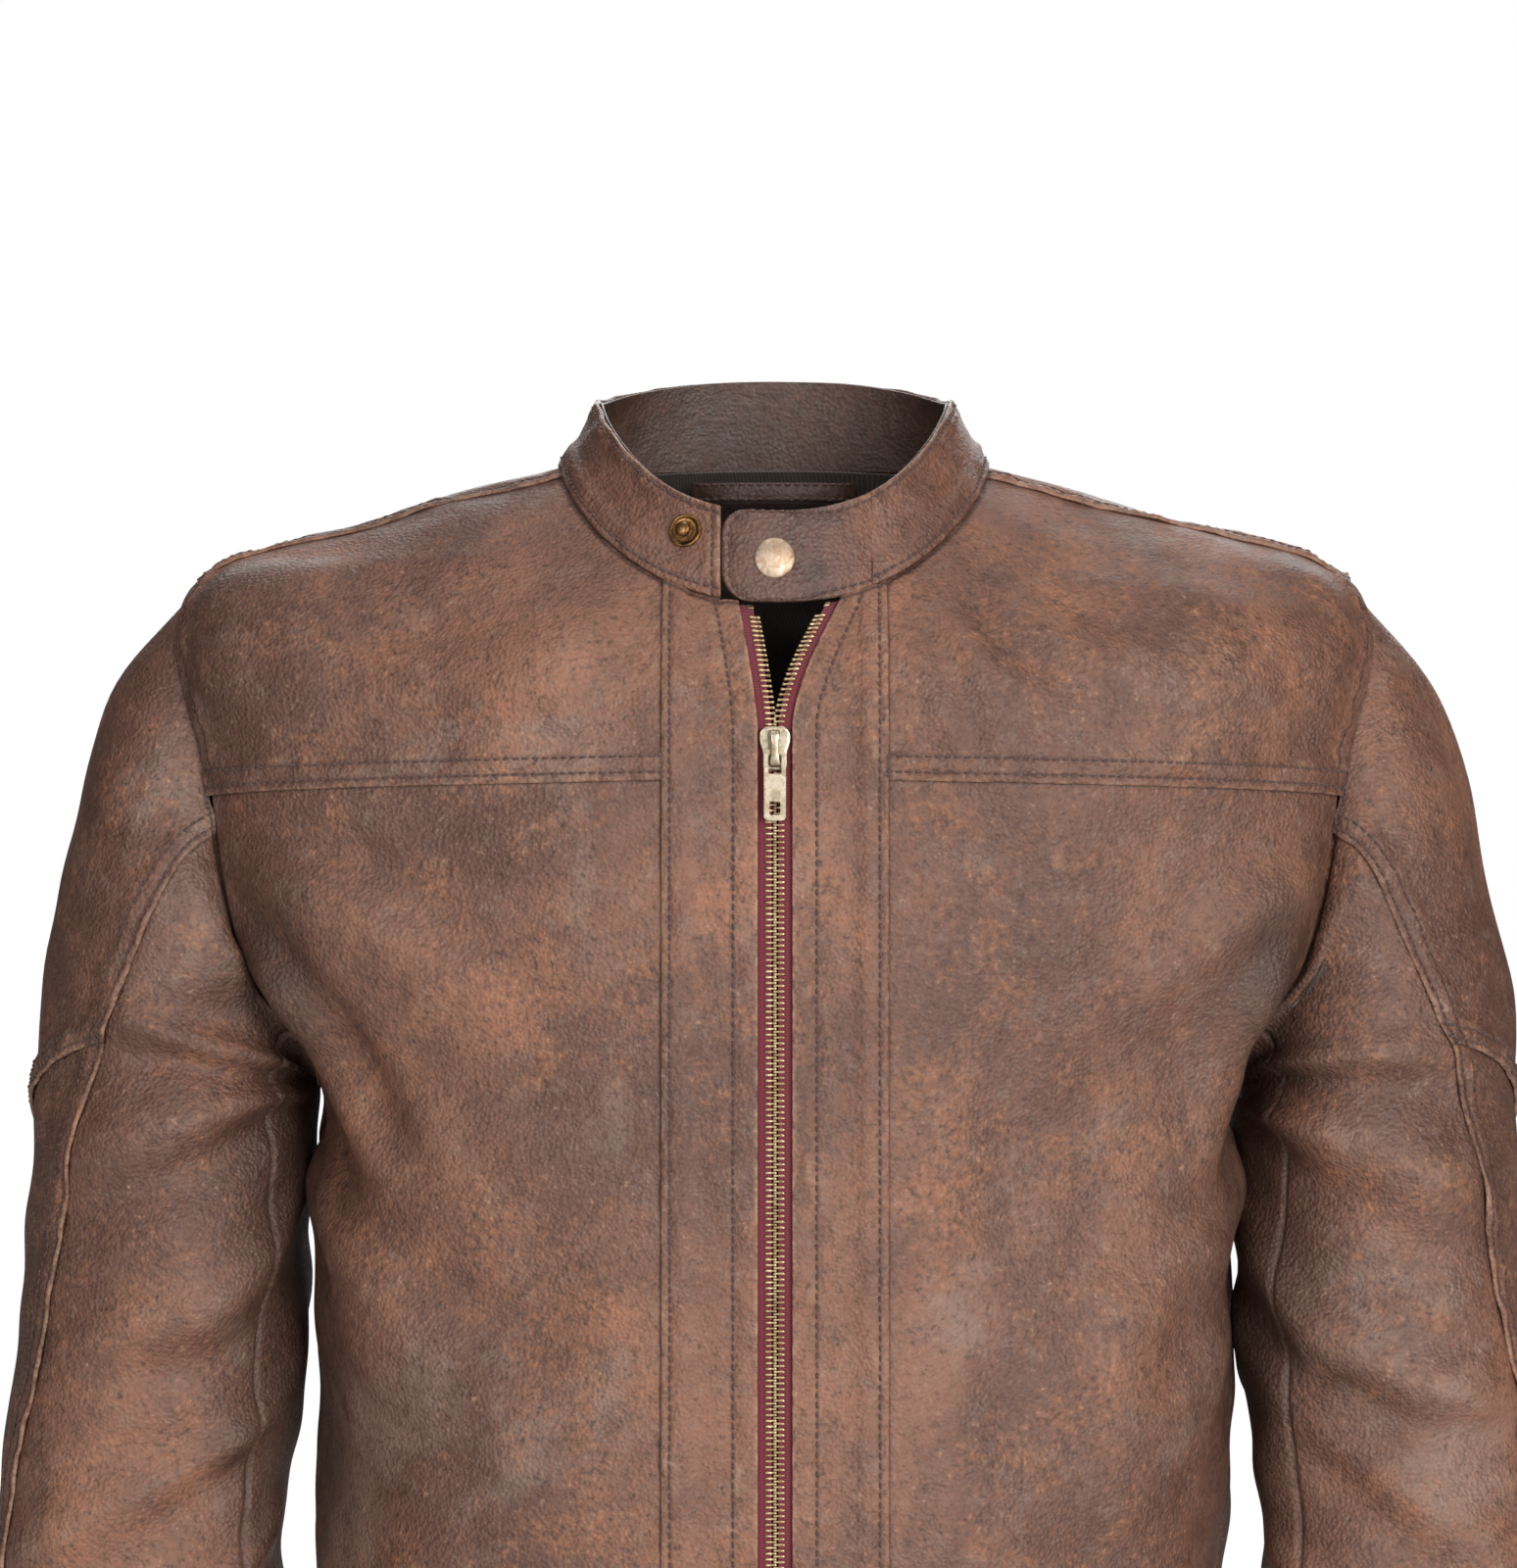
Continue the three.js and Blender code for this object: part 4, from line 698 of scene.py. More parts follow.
def sleeve_relief(points, phi, s, side):
    place = points + np.array((0, 0, 900.0 * (side < 0)))  # so the two sleeves fold differently
    grown = smooth(0.0, 1.2, s) * (1 - smooth(7.5, 8.0, s) * 0.7)
    angle = phi % 360
    inside = 0.45 + 0.55 * smooth(40, 110, np.minimum(angle, 360 - angle))
    noise = 1.7 * SLEEVE_BROAD(place) + 1.15 * SLEEVE_SOFT(place) + 0.3 * CREASE(place)
    lift = grown * inside * noise
    for phi0, s0, phi1, s1, width, height in SLEEVE_FOLDS[side]:
        share = np.clip((angle - phi0) / (phi1 - phi0), -0.5, 1.5)
        across = s - (s0 + (s1 - s0) * share + 0.12 * np.sin(3.1 * share))
        fade = smooth(-0.35, 0.2, share) * (1 - smooth(0.75, 1.35, share))
        lift = lift + 1.15 * height * fade * (
            bell(across, 0, width) - 0.5 * bell(across, 1.8 * width, width)
        )
    return lift


# ---- Grids ---------------------------------------------------------------------------------

# Distances of the grid's first lines from an edge, and how far a lapped edge runs on.
EDGE_MARKS = np.array(
    [0, 0.12, 0.4, 0.8, 1.3, 1.9, 2.5, 3.2, 4.0, 4.9, 5.8, 6.5, 7.2, 8.0, 9.2, 11.0, 13.5]
)
LAP = 1.6


def line_targets(total, marks, spacing):
    """Places of grid lines along lines of the given lengths, finer near their two ends."""
    edge = marks * np.minimum(1, 0.46 * total / marks[-1])[..., None]
    inner = max(2, int(math.ceil((total.mean() - 2 * marks[-1]) / spacing)))
    share = np.linspace(0, 1, inner + 1)[1:-1]
    start, end = edge[..., -1:], total[..., None] - edge[..., -1:]
    return np.concatenate([edge, start + (end - start) * share, total[..., None] - edge[..., ::-1]], -1)


def respaced(params, surface, marks, spacing, extend_low, extend_high):
    """Moves the lines of a grid of surface parameters to set distances along its rows."""
    run = run_along(surface(params[..., 0], params[..., 1]), 1)
    total = run[:, -1]
    targets = line_targets(total + extend_low + extend_high, marks, spacing) - extend_low
    made = np.empty(targets.shape + (2,))
    for k in range(len(run)):
        for axis in range(2):
            made[k, :, axis] = np.interp(targets[k], run[k], params[k, :, axis])
        low, high = targets[k] < 0, targets[k] > total[k]
        if low.any():
            slope = (params[k, 2] - params[k, 0]) / (run[k, 2] - run[k, 0])
            made[k, low] = params[k, 0] + targets[k, low][:, None] * slope
        if high.any():
            slope = (params[k, -1] - params[k, -3]) / (run[k, -1] - run[k, -3])
            made[k, high] = params[k, -1] + (targets[k, high] - total[k])[:, None] * slope
    return made


class Patch:
    """A piece of a surface: its grid of places, normals and distances from its four edges.

    The grid runs across in columns (left to right) and up in rows (bottom to top). Laps are
    how far each edge runs on past its seam line."""

    def __init__(self, surface, layout, laps=None, spacing=3.4, fine=EDGE_MARKS, dense=140):
        laps = dict(left=0, right=0, bottom=0, top=0) | (laps or {})
        u, v = np.meshgrid(np.linspace(0, 1, dense), np.linspace(0, 1, dense))
        params = np.stack(layout(u, v), -1)
        params = respaced(params, surface, fine, spacing, laps["left"], laps["right"])
        turned = params.transpose(1, 0, 2)
        turned = respaced(turned, surface, fine, spacing, laps["bottom"], laps["top"])
        self.params = turned.transpose(1, 0, 2)
        a, b = self.params[..., 0], self.params[..., 1]
        self.places = surface(a, b)
        self.normals = normals(surface, a, b)
        self.distance = {}
        for near, far, axis in (("left", "right", 1), ("bottom", "top", 0)):
            self.distance[near] = run_along(self.places, axis)
            self.distance[far] = np.flip(run_along(np.flip(self.places, axis), axis), axis)

    def lifted(self, height):
        return self.places + self.normals * height[..., None]

    def mirrored(self):
        self.places = self.places * np.array((-1, 1, 1))
        self.normals = self.normals * np.array((-1, 1, 1))
        return self


def grid_faces(rows, columns, offset=0, flip=False):
    i, j = np.meshgrid(np.arange(rows - 1), np.arange(columns - 1), indexing="ij")
    a = (i * columns + j).ravel() + offset
    quads = np.stack([a, a + 1, a + columns + 1, a + columns], -1)
    return quads[:, ::-1] if flip else quads


def linked(name, mesh, material):
    mesh.materials.append(material)
    piece = bpy.data.objects.new(name, mesh)
    bpy.context.scene.collection.objects.link(piece)
    return piece


def make_mesh(name, points, faces, material, attributes=None):
    """A mesh object from millimetre points and a list of quad or triangle arrays."""
    mesh = bpy.data.meshes.new(name)
    mesh.vertices.add(len(points))
    mesh.vertices.foreach_set("co", (np.asarray(points, float) * MM).astype(np.float32).ravel())
    loops = np.concatenate([f.ravel() for f in faces]).astype(np.int32)
    sizes = np.concatenate([np.full(len(f), f.shape[1]) for f in faces])
    starts = np.concatenate([[0], np.cumsum(sizes)[:-1]]).astype(np.int32)
    mesh.loops.add(len(loops))
    mesh.loops.foreach_set("vertex_index", loops)
    mesh.polygons.add(len(sizes))
    mesh.polygons.foreach_set("loop_start", starts)
    mesh.polygons.foreach_set("use_smooth", np.ones(len(sizes), bool))
    mesh.update(calc_edges=True)
    for key, values in (attributes or {}).items():
        layer = mesh.attributes.new(key, "FLOAT", "POINT")
        layer.data.foreach_set("value", np.asarray(values, np.float32).ravel())
    return linked(name, mesh, material)


def ring_quads(rings, count):
    """Quads between neighbours in a stack of closed rings of points."""
    index = np.arange(rings * count).reshape(rings, count)
    pairs = zip(index[:-1], index[1:])
    return np.concatenate([np.stack([a, np.roll(a, -1), np.roll(b, -1), b], -1) for a, b in pairs])


def stamped(template, faces, centres, across, along, normal):
    """Copies of one shape at many places. Its axes are across, along and normal."""
    made = (
        centres[:, None]
        + template[None, :, 0, None] * across[:, None]
        + template[None, :, 1, None] * along[:, None]
        + template[None, :, 2, None] * normal[:, None]
    )
    copies = faces[None] + (np.arange(len(centres)) * len(template))[:, None, None]
    return made.reshape(-1, 3), copies.reshape(-1, 4)


def ride_and_replace(piece, body, node):
    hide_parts(node)
    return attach(piece, body)


def shell_piece(
    name, outer, inner, material, wear=None, painted_shade=None, polish=None,
    closed=False, flip=False, hole=None,
):
    """Closes an outer and an inner grid of points into one thin solid, less the cells in a hole."""
    rows, columns = outer.shape[:2]
    count = rows * columns
    points = np.concatenate([outer.reshape(-1, 3), inner.reshape(-1, 3)])
    kept = slice(None) if hole is None else ~hole.ravel()
    faces = [grid_faces(rows, columns)[kept], grid_faces(rows, columns, count, True)[kept]]
    index = np.arange(count).reshape(rows, columns)
    rims = [index[0], index[-1][::-1]]
    if closed:
        left, right = index[:, -1], index[:, 0]
        seam = np.stack([left[:-1], right[:-1], right[1:], left[1:]], -1)
        faces += [seam, seam[:, ::-1] + count]
        rims = [np.append(index[0], index[0, 0]), np.append(index[-1], index[-1, 0])[::-1]]
    else:
        rims += [index[::-1, 0], index[:, -1]]
    for rim in rims:
        faces.append(np.stack([rim[:-1], rim[:-1] + count, rim[1:] + count, rim[1:]], -1))
    if flip:
        faces = [f[:, ::-1] for f in faces]
    zero = np.zeros(count)
    # wear, painted shade and polish go on the points as attributes for the leather material
    attributes = {
        "wear": np.concatenate([zero if wear is None else wear.ravel(), zero]),
        "painted_shade": np.concatenate([zero if painted_shade is None else painted_shade.ravel(), zero]),
    }
    if polish is not None:
        attributes["polish"] = np.concatenate([polish.ravel(), polish.ravel()])
    return make_mesh(name, points, faces, material, attributes)


# ---- Stitches ------------------------------------------------------------------------------

STITCH_LONG, STITCH_GAP = 2.6, 1.0
STITCH_HALF_WIDE, STITCH_HALF_TALL = 0.5, 0.42
STITCH_RISE = 0.12  # a stitch's middle above the leather
SHORTEST_ROW = 6.0


def stitch_template():
    """Rings of one thread stitch lying along X with Z up, its two ends dipping down."""
    stations = [(-0.5, 0.35, -0.5), (-0.3, 1, 0.25), (0, 1.08, 0.45), (0.3, 1, 0.25), (0.5, 0.35, -0.5)]
    angles = np.radians(np.arange(0, 360, 60))
    rings = []
    for x, size, rise in stations:
        y = STITCH_HALF_WIDE * size * np.cos(angles)
        z = STITCH_HALF_TALL * size * np.sin(angles) + 0.4 * rise
        rings.append(np.stack([np.full(len(angles), x * STITCH_LONG), y, z], -1))
    return np.concatenate(rings), ring_quads(len(stations), len(angles))


STITCH_POINTS, STITCH_FACES = stitch_template()


class Stitches:
    """Collects the stitches of one piece, then makes one object of them."""

    def __init__(self):
        self.points, self.faces, self.count = [], [], 0

    def along(self, line, up):
        """Stitches along a polyline of points with the surface normals beside it."""
        run = run_along(line)
        if run[-1] < SHORTEST_ROW:
            return
        number = int(run[-1] / (STITCH_LONG + STITCH_GAP))
        at = (np.arange(number) + 0.5) * run[-1] / number
        ahead, behind = np.minimum(at + 1.2, run[-1]), np.maximum(at - 1.2, 0)
        way = unit(picked(ahead, run, line) - picked(behind, run, line))
        normal = picked(at, run, up)
        normal = unit(normal - (normal * way).sum(-1, keepdims=True) * way)
        turn = np.radians(np.where(np.arange(number) % 2, 3.0, 5.0))[:, None]
        slanted = way * np.cos(turn) + np.cross(normal, way) * np.sin(turn)
        centres = picked(at, run, line) + normal * STITCH_RISE
        aside = np.cross(normal, slanted)
        points, faces = stamped(STITCH_POINTS, STITCH_FACES, centres, slanted, aside, normal)
        self.points.append(points)
        self.faces.append(faces + self.count)
        self.count += len(points)

    def mesh(self, name):
        piece = make_mesh(name, np.concatenate(self.points), [np.concatenate(self.faces)], THREAD)
        return piece

    def make(self, name):
        if self.points:
            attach(self.mesh(name), "root")


# ---- Leather panels ------------------------------------------------------------------------

LEATHER_THICK = 1.4
PUCKER = Waves(21, 7.5)
PUCKER_WIDE = Waves(23, 17)


def lip(distance, radius):
    """How far a rounded edge has fallen away at a distance from it."""
    return radius - np.sqrt(np.clip(radius**2 - np.clip(radius - distance, 0, None) ** 2, 0, None))


def edge_profile(patch, edges):
    """Lift of the outer face, depth of the inner face, wear and painted shade from each edge's kind.

    lap: a folded edge lying on its neighbour. fold: a free folded edge. under: an edge beneath
    a neighbour's lap. tucked: an edge that dives under its neighbour. seam: an edge turned in
    against its neighbour."""
    shape = patch.places.shape[:2]
    lift, depth = np.zeros(shape), np.full(shape, LEATHER_THICK)
    wear, painted_shade = np.zeros(shape), np.zeros(shape)
    for side, kind in edges.items():
        d = patch.distance[side]
        if kind == "lap":
            raised = 1.6 * (1 - smooth(8.5, 13.0, d))
            lift = np.maximum(lift, raised) - 0.85 * lip(d, 1.25)
            shelf = 1 - smooth(LAP + 0.3, LAP + 1.6, d)
            depth = lerp(depth, -0.12, shelf)
            wear = np.maximum(wear, 0.38 * bell(d, 0, 0.9))
        elif kind == "fold":
            fallen = lip(d, LEATHER_THICK / 2)
            lift = lift + 0.5 * (1 - smooth(5.0, 9.0, d)) - fallen
            depth = depth - fallen
            wear = np.maximum(wear, 0.6 * bell(d, 0, 1.0))
        elif kind == "under":
            lift = lift - 0.12 * (1 - smooth(2.0, 5.0, d))
            # painted shadow under the neighbour's lapped edge
            painted_shade = np.maximum(painted_shade, 0.85 * bell(d, LAP, 1.2) * (d < LAP + 4))
        elif kind == "tucked":
            lift = lift - 2.0 * (1 - smooth(0.0, 7.0, d))
            # painted shade where the edge dives under its neighbour
            painted_shade = np.maximum(painted_shade, 0.8 * bell(d, 3.0, 1.6))
        elif kind == "seam":
            lift = lift - 1.15 * bell(d, 0, 1.5)
            # painted shade in the seam's valley
            painted_shade = np.maximum(painted_shade, 0.8 * bell(d, 0, 1.0))
            wear = np.maximum(wear, 0.12 * bell(d, 2.4, 0.9))
    return lift, depth, wear, painted_shade


def painted_underarm_shade(points):
    """Painted shade on the leather round the underarms, where the sleeves and the body hide each other.
    """
    x, z = np.abs(points[..., 0]), points[..., 2]
    hidden = bell(x, 184, 24) * smooth(-130, -190, z) * smooth(-520, -400, z)
    return 0.75 * hidden


def stitch_marks(patch, rows):
    """Valleys along the stitch rows with painted shade laid in them, and the puckering the thread pulls
    into the leather.
    """
    shape = patch.places.shape[:2]
    lift, painted_shade, near = np.zeros(shape), np.zeros(shape), np.zeros(shape)
    for side, distance in rows:
        d = patch.distance[side]
        lift -= 0.42 * bell(d, distance, 0.8)
        # painted shade in the stitch valley
        painted_shade = np.maximum(painted_shade, 0.6 * bell(d, distance, 0.7))
        near = np.maximum(near, bell(d, distance, 4.5))
    return lift, painted_shade, near


def leather_piece(name, patch, relief, edges, rows, node, flip=False, hole=None, polish=0.0):
    """One leather panel with its folds, edges, wear and stitch rows."""
    lift, depth, wear, painted_shade = edge_profile(patch, edges)
    sunk, marks, near = stitch_marks(patch, rows)
    pucker = near * (0.28 * PUCKER(patch.places) + 0.42 * PUCKER_WIDE(patch.places))
    base = relief + pucker
    outer, inner = patch.lifted(base + lift + sunk), patch.lifted(base - depth)
    # painted shade: seam, lap and stitch-valley shade together with the painted underarm shade
    painted_shade = np.maximum.reduce([painted_shade, painted_underarm_shade(patch.places), marks])
    ridges = 0.35 * near * smooth(0.2, 0.9, pucker) + 0.12 * smooth(2.5, 6.0, relief)
    wear = np.clip(wear + ridges, 0, 1)
    polish = np.full(wear.shape, polish)
    piece = shell_piece(name, outer, inner, LEATHER, wear, painted_shade, polish, flip=flip, hole=hole)
    ride_and_replace(piece, "root", node)
    threads = Stitches()
    for side, distance in rows:
        threads.along(*line_at(outer, patch.normals, patch.distance[side], side, distance))
    threads.make(name + "_stitching")


def line_at(outer, up, distance, side, value):
    """The line on a grid that runs at one distance from an edge."""
    if side in ("left", "right"):
        outer, up, distance = outer.transpose(1, 0, 2), up.transpose(1, 0, 2), distance.T
    if side in ("right", "top"):
        outer, up, distance = outer[::-1], up[::-1], distance[::-1]
    k = np.clip((distance < value).sum(0), 1, len(distance) - 1)
    column = np.arange(distance.shape[1])
    below, above = distance[k - 1, column], distance[k, column]
    share = ((value - below) / np.maximum(above - below, 1e-9))[:, None]
    share = np.clip(share, 0, 1)
    line = outer[k - 1, column] * (1 - share) + outer[k, column] * share
    return line, up[k - 1, column]


def front_panel_layout(u, v):
    t = v * YOKE
    start = torso_theta_at(PLACKET_EDGE, t)
    phi = lerp(180.0, YOKE_PHI, np.clip((t - UNDERARM) / (YOKE - UNDERARM), 0, 1))
    end_theta, end_t = armhole(phi)
    below = t <= UNDERARM
    end_theta, end_t = np.where(below, 90.0, end_theta), np.where(below, t, end_t)
    return lerp(start, end_theta, u), lerp(t, end_t, u)


def front_yoke_layout(u, v):
    rows = v * 9
    t = np.interp(rows, range(5), [YOKE, STRAIGHT_ROW, 7, 7.5, NECK])
    corner = torso_theta_at(PLACKET_EDGE, np.array(NECK))
    neckline = lerp(corner, NECK_THETA, np.clip((rows - 4) / 5, 0, 1))
    start = np.where(rows <= 4, torso_theta_at(PLACKET_EDGE, t), neckline)
    end_theta, end_t = armhole(lerp(YOKE_PHI, SHOULDER_PHI, v))
    return lerp(start, end_theta, u), lerp(t, end_t, u)


def back_panel_layout(u, v):
    t = v * YOKE
    phi = lerp(180.0, 360 - YOKE_PHI, np.clip((t - UNDERARM) / (YOKE - UNDERARM), 0, 1))
    theta, level = armhole(phi)
    below = t <= UNDERARM
    theta, level = np.where(below, 90.0, theta), np.where(below, t, level)
    return lerp(theta, 360 - theta, u), level


def back_yoke_layout(u, v):
    rows = v * 2
    arm_theta, arm_t = armhole(lerp(360 - YOKE_PHI, 360 + SHOULDER_PHI, np.clip(rows, 0, 1)))
    tip_theta, tip_t = armhole(np.array(360 + SHOULDER_PHI))
    seam = np.clip(rows - 1, 0, 1)
    theta = np.where(rows <= 1, arm_theta, lerp(tip_theta, NECK_THETA, seam))
    edge = np.where(rows <= 1, arm_t, lerp(tip_t, NECK, seam))
    first = armhole(np.array(360 - YOKE_PHI))[1]
    rising = lerp(first, TIP_LEVEL, np.clip(rows, 0, 1))
    inner = np.where(rows <= 1, rising, lerp(TIP_LEVEL, NECK, seam))
    share = smooth(0.0, 0.16, np.minimum(u, 1 - u))
    return lerp(theta, 360 - theta, u), lerp(edge, inner, share)


def opening_shift(t, side):
    """How far the open V has moved one side of the zip out."""
    share = np.clip((through(TORSO_RINGS[:, 2], t) - STRAIGHT_TOP) / OPENING_RISE, 0, 1)
    reach, power = OPENING_SHIFTS[side]
    return reach * share**power


def strip_layout(x_from, x_to, side, t_from=0.0):
    """A strip beside the opening, from and to given functions of how far the opening shifts."""

    def layout(u, v):
        t = lerp(t_from, NECK, v)
        shift = opening_shift(t, side)
        x = lerp(x_from(shift), x_to(shift), u)
        return torso_theta_at(x, t), t

    return layout


HEM_STITCHES = [("bottom", 30.0)]


def torso_patch(layout, side=1, **options):
    patch = Patch(torso, layout, **options)
    if side < 0:
        patch.mirrored()
    theta = patch.params[..., 0] * side
    patch.relief = torso_relief(patch.places, theta, patch.params[..., 1])
    return patch


def body_panels():
    for suffix, side in SIDES:
        flip = side < 0
        panel = torso_patch(front_panel_layout, side, laps=dict(left=0.4, top=0.4))
        middles = (panel.places[:-1, :-1] + panel.places[1:, 1:]) / 2
        slot = beside_pocket(middles, 2.6, 4.0)
        edges = dict(left="under", top="under", right="seam", bottom="fold")
        leather_piece(
            f"chest_panel_{suffix}", panel, panel.relief, edges, HEM_STITCHES,
            f"front_panel_{suffix}", flip, slot,
        )
        yoke = torso_patch(front_yoke_layout, side, laps=dict(left=0.3, bottom=LAP, top=0.8, right=0.8))
        edges = dict(left="under", bottom="lap", top="under", right="lap")
        rows = [("bottom", 3.2), ("bottom", 9.0), ("right", 6.5)]
        leather_piece(
            f"chest_yoke_{suffix}", yoke, yoke.relief, edges, rows, f"front_yoke_{suffix}", flip
        )
        strip = strip_layout(lambda shift: SLOT_HALF + shift, lambda shift: PLACKET_EDGE, side)
        placket = torso_patch(strip, side, laps=dict(right=LAP), spacing=3.0)
        edges = dict(left="fold", right="lap", bottom="fold", top="under")
        rows = [("right", 3.4), ("left", 9.0)]
        leather_piece(
            f"zip_placket_{suffix}", placket, placket.relief, edges, rows, f"placket_{suffix}", flip
        )
    panel = torso_patch(back_panel_layout, laps=dict(top=0.4))
    edges = dict(left="seam", right="seam", bottom="fold", top="under")
    leather_piece("rear_panel", panel, panel.relief, edges, HEM_STITCHES, "back_panel")
    yoke = torso_patch(back_yoke_layout, laps=dict(bottom=LAP, left=0.8, right=0.8, top=1.0))
    edges = dict(left="lap", right="lap", bottom="lap", top="under")
    rows = [("bottom", 3.2), ("bottom", 9.0), ("left", 4.0), ("right", 4.0)]
    leather_piece("rear_yoke", yoke, yoke.relief, edges, rows, "back_yoke")


# ---- Sleeves -------------------------------------------------------------------------------


def bent(s, share):
    """Rows bend down to the shoulder cap's point across the outer panels."""
    end = lerp(CAP_SIDE, CAP_TIP, 1 - np.abs(2 * share - 1))
    below = lerp(end, CUFF, (s - CAP_SIDE) / (CUFF - CAP_SIDE))
    return np.where(s <= CAP_SIDE, s * end / CAP_SIDE, below)


def outer_layout(s_from, s_to):
    def layout(u, v):
        s = lerp(s_from, s_to, v)
        edge = through(SEAM_EDGE, s)
        return lerp(-edge, edge, u), bent(s, u)

    return layout


def front_sleeve_layout(u, v):
    s = v * CUFF
    return lerp(through(SEAM_EDGE, s), INNER_SEAM, u), s


def back_sleeve_layout(u, v):
    s = v * CUFF
    return lerp(INNER_SEAM, 360 - through(SEAM_EDGE, s), u), s


def sleeve_patch(layout, side, **options):
    patch = Patch(sleeve, layout, **options)
    phi, s = patch.params[..., 0], patch.params[..., 1]
    if side < 0:
        patch.mirrored()
    patch.relief = sleeve_relief(patch.places, phi, s, side)
    return patch


SLEEVE_SEAM_ROWS = [("left", 3.0), ("left", 8.4), ("right", 3.0), ("right", 8.4)]
CUFF_ROW = [("top", 25.0)]
# Each sleeve panel: piece, CAD node, layout, laps, edges, stitch rows.
SLEEVE_PANELS = [
    (
        "shoulder_piece", "shoulder_cap", outer_layout(0.0, CAP_SIDE),
        dict(left=LAP, right=LAP, top=LAP),
        dict(left="lap", right="lap", bottom="under", top="lap"),
        SLEEVE_SEAM_ROWS + [("top", 3.0), ("top", 8.4)],
    ),
    (
        "outer_sleeve", "sleeve_outer", outer_layout(CAP_SIDE, CUFF),
        dict(left=LAP, right=LAP, bottom=0.4),
        dict(left="lap", right="lap", bottom="under", top="fold"),
        SLEEVE_SEAM_ROWS + CUFF_ROW,
    ),
    (
        "front_sleeve", "sleeve_front", front_sleeve_layout, dict(left=0.4, bottom=3.0),
        dict(left="under", right="seam", bottom="tucked", top="fold"), CUFF_ROW,
    ),
    (
        "rear_sleeve", "sleeve_back", back_sleeve_layout, dict(right=0.4, bottom=3.0),
        dict(left="seam", right="under", bottom="tucked", top="fold"), CUFF_ROW,
    ),
]


def sleeves():
    for suffix, side in SIDES:
        for name, node, layout, laps, edges, rows in SLEEVE_PANELS:
            patch = sleeve_patch(layout, side, laps=laps)
            leather_piece(
                f"{name}_{suffix}", patch, patch.relief, edges, rows, f"{node}_{suffix}", side < 0
            )


# ---- Facings and linings -------------------------------------------------------------------

COARSE_MARKS = np.array([0, 0.4, 1.2, 3.0, 6.0])


def layer_piece(name, patch, top, thick, material, node, flip=False, closed=False):
    """A plain layer at a depth under the surface, following the same folds."""
    outer, inner = patch.lifted(patch.relief - top), patch.lifted(patch.relief - top - thick)
    piece = shell_piece(name, outer, inner, material, closed=closed, flip=flip)
    ride_and_replace(piece, "root", node)


HEM_ROW = row_at_front(-BODY_LENGTH + 40)
LINING_ROW = row_at_front(-BODY_LENGTH + 32)


LINING_TOP, LINING_THICK = 3.6, 0.7
FACING_TOP, HEM_TOP, FACING_THICK = 2.6, 1.9, 1.0
FACING_START, FACING_LEAD = 9, 3  # from the middle, and behind the placket's edge at the V
LINING_START = FACING_EDGE + 0.4


def lining_depth(patch):
    """The lining stands off behind the hand pockets."""
    x, z = np.abs(patch.places[..., 0]), patch.places[..., 2]
    reach = smooth(66, 84, x) * (1 - smooth(132, 150, x))
    span = smooth(-625, -600, z) * (1 - smooth(-420, -395, z))
    return LINING_TOP + 3.8 * reach * span * (patch.places[..., 1] < 0)


def facing_from(shift):
    return np.maximum(FACING_START, FACING_LEAD + shift) + shift


def front_lining_layout(u, v):
    t = lerp(LINING_ROW, YOKE, v)
    theta, level = front_panel_layout(np.ones_like(u), t / YOKE)
    return lerp(torso_theta_at(LINING_START, t), theta, u), lerp(t, level, u)


def yoke_lining_layout(u, v):
    theta, level = front_yoke_layout(np.ones_like(u), v)
    start, low = front_yoke_layout(np.zeros_like(u), v)
    corner = np.minimum(torso_theta_at(LINING_START, low), NECK_THETA)
    return lerp(np.maximum(start, corner), theta, u), lerp(low, level, u)


def hem_layout(u, v):
    t = v * HEM_ROW
    start = torso_theta_at(LINING_START, t)
    return lerp(start, 360 - start, u), t


def back_lining_layout(u, v):
    theta, level = back_panel_layout(np.zeros_like(u), lerp(LINING_ROW, YOKE, v) / YOKE)
    return lerp(theta, 360 - theta, u), level


def inner_layers():
    for suffix, side in SIDES:
        strip = strip_layout(facing_from, lambda shift: FACING_EDGE, side)
        patch = torso_patch(strip, side, laps=dict(top=-1.6), fine=COARSE_MARKS)
        layer_piece(
            f"inner_facing_{suffix}", patch, FACING_TOP, FACING_THICK, FACING_LEATHER,
            f"front_facing_{suffix}", side < 0,
        )
        for name, layout in (("body", front_lining_layout), ("yoke", yoke_lining_layout)):
            patch = torso_patch(layout, side, laps=dict(right=-1.6), fine=COARSE_MARKS, spacing=5.0)
            top = lining_depth(patch) if name == "body" else LINING_TOP
            layer_piece(
                f"{name}_lining_{suffix}", patch, top, LINING_THICK, LINING,
                f"lining_front_{suffix}", side < 0,
            )
    patch = torso_patch(hem_layout, fine=COARSE_MARKS, spacing=4.0)
    layer_piece(
        "hem_band", patch, HEM_TOP, FACING_THICK, FACING_LEATHER, "hem_facing"
    )
    for name, layout in (("rear_lining", back_lining_layout), ("rear_yoke_lining", back_yoke_layout)):
        patch = torso_patch(layout, laps=dict(left=-3.0, right=-3.0), fine=COARSE_MARKS, spacing=5.0)
        edge = np.minimum(patch.distance["left"], patch.distance["right"])
        top = LINING_TOP + 1.2 * (1 - smooth(0, 30, edge))
        layer_piece(name, patch, top, LINING_THICK, LINING, "lining_back")


def tube_layout(s_from, s_to):
    def layout(u, v):
        return u * 356.0, lerp(s_from, s_to, v)

    return layout


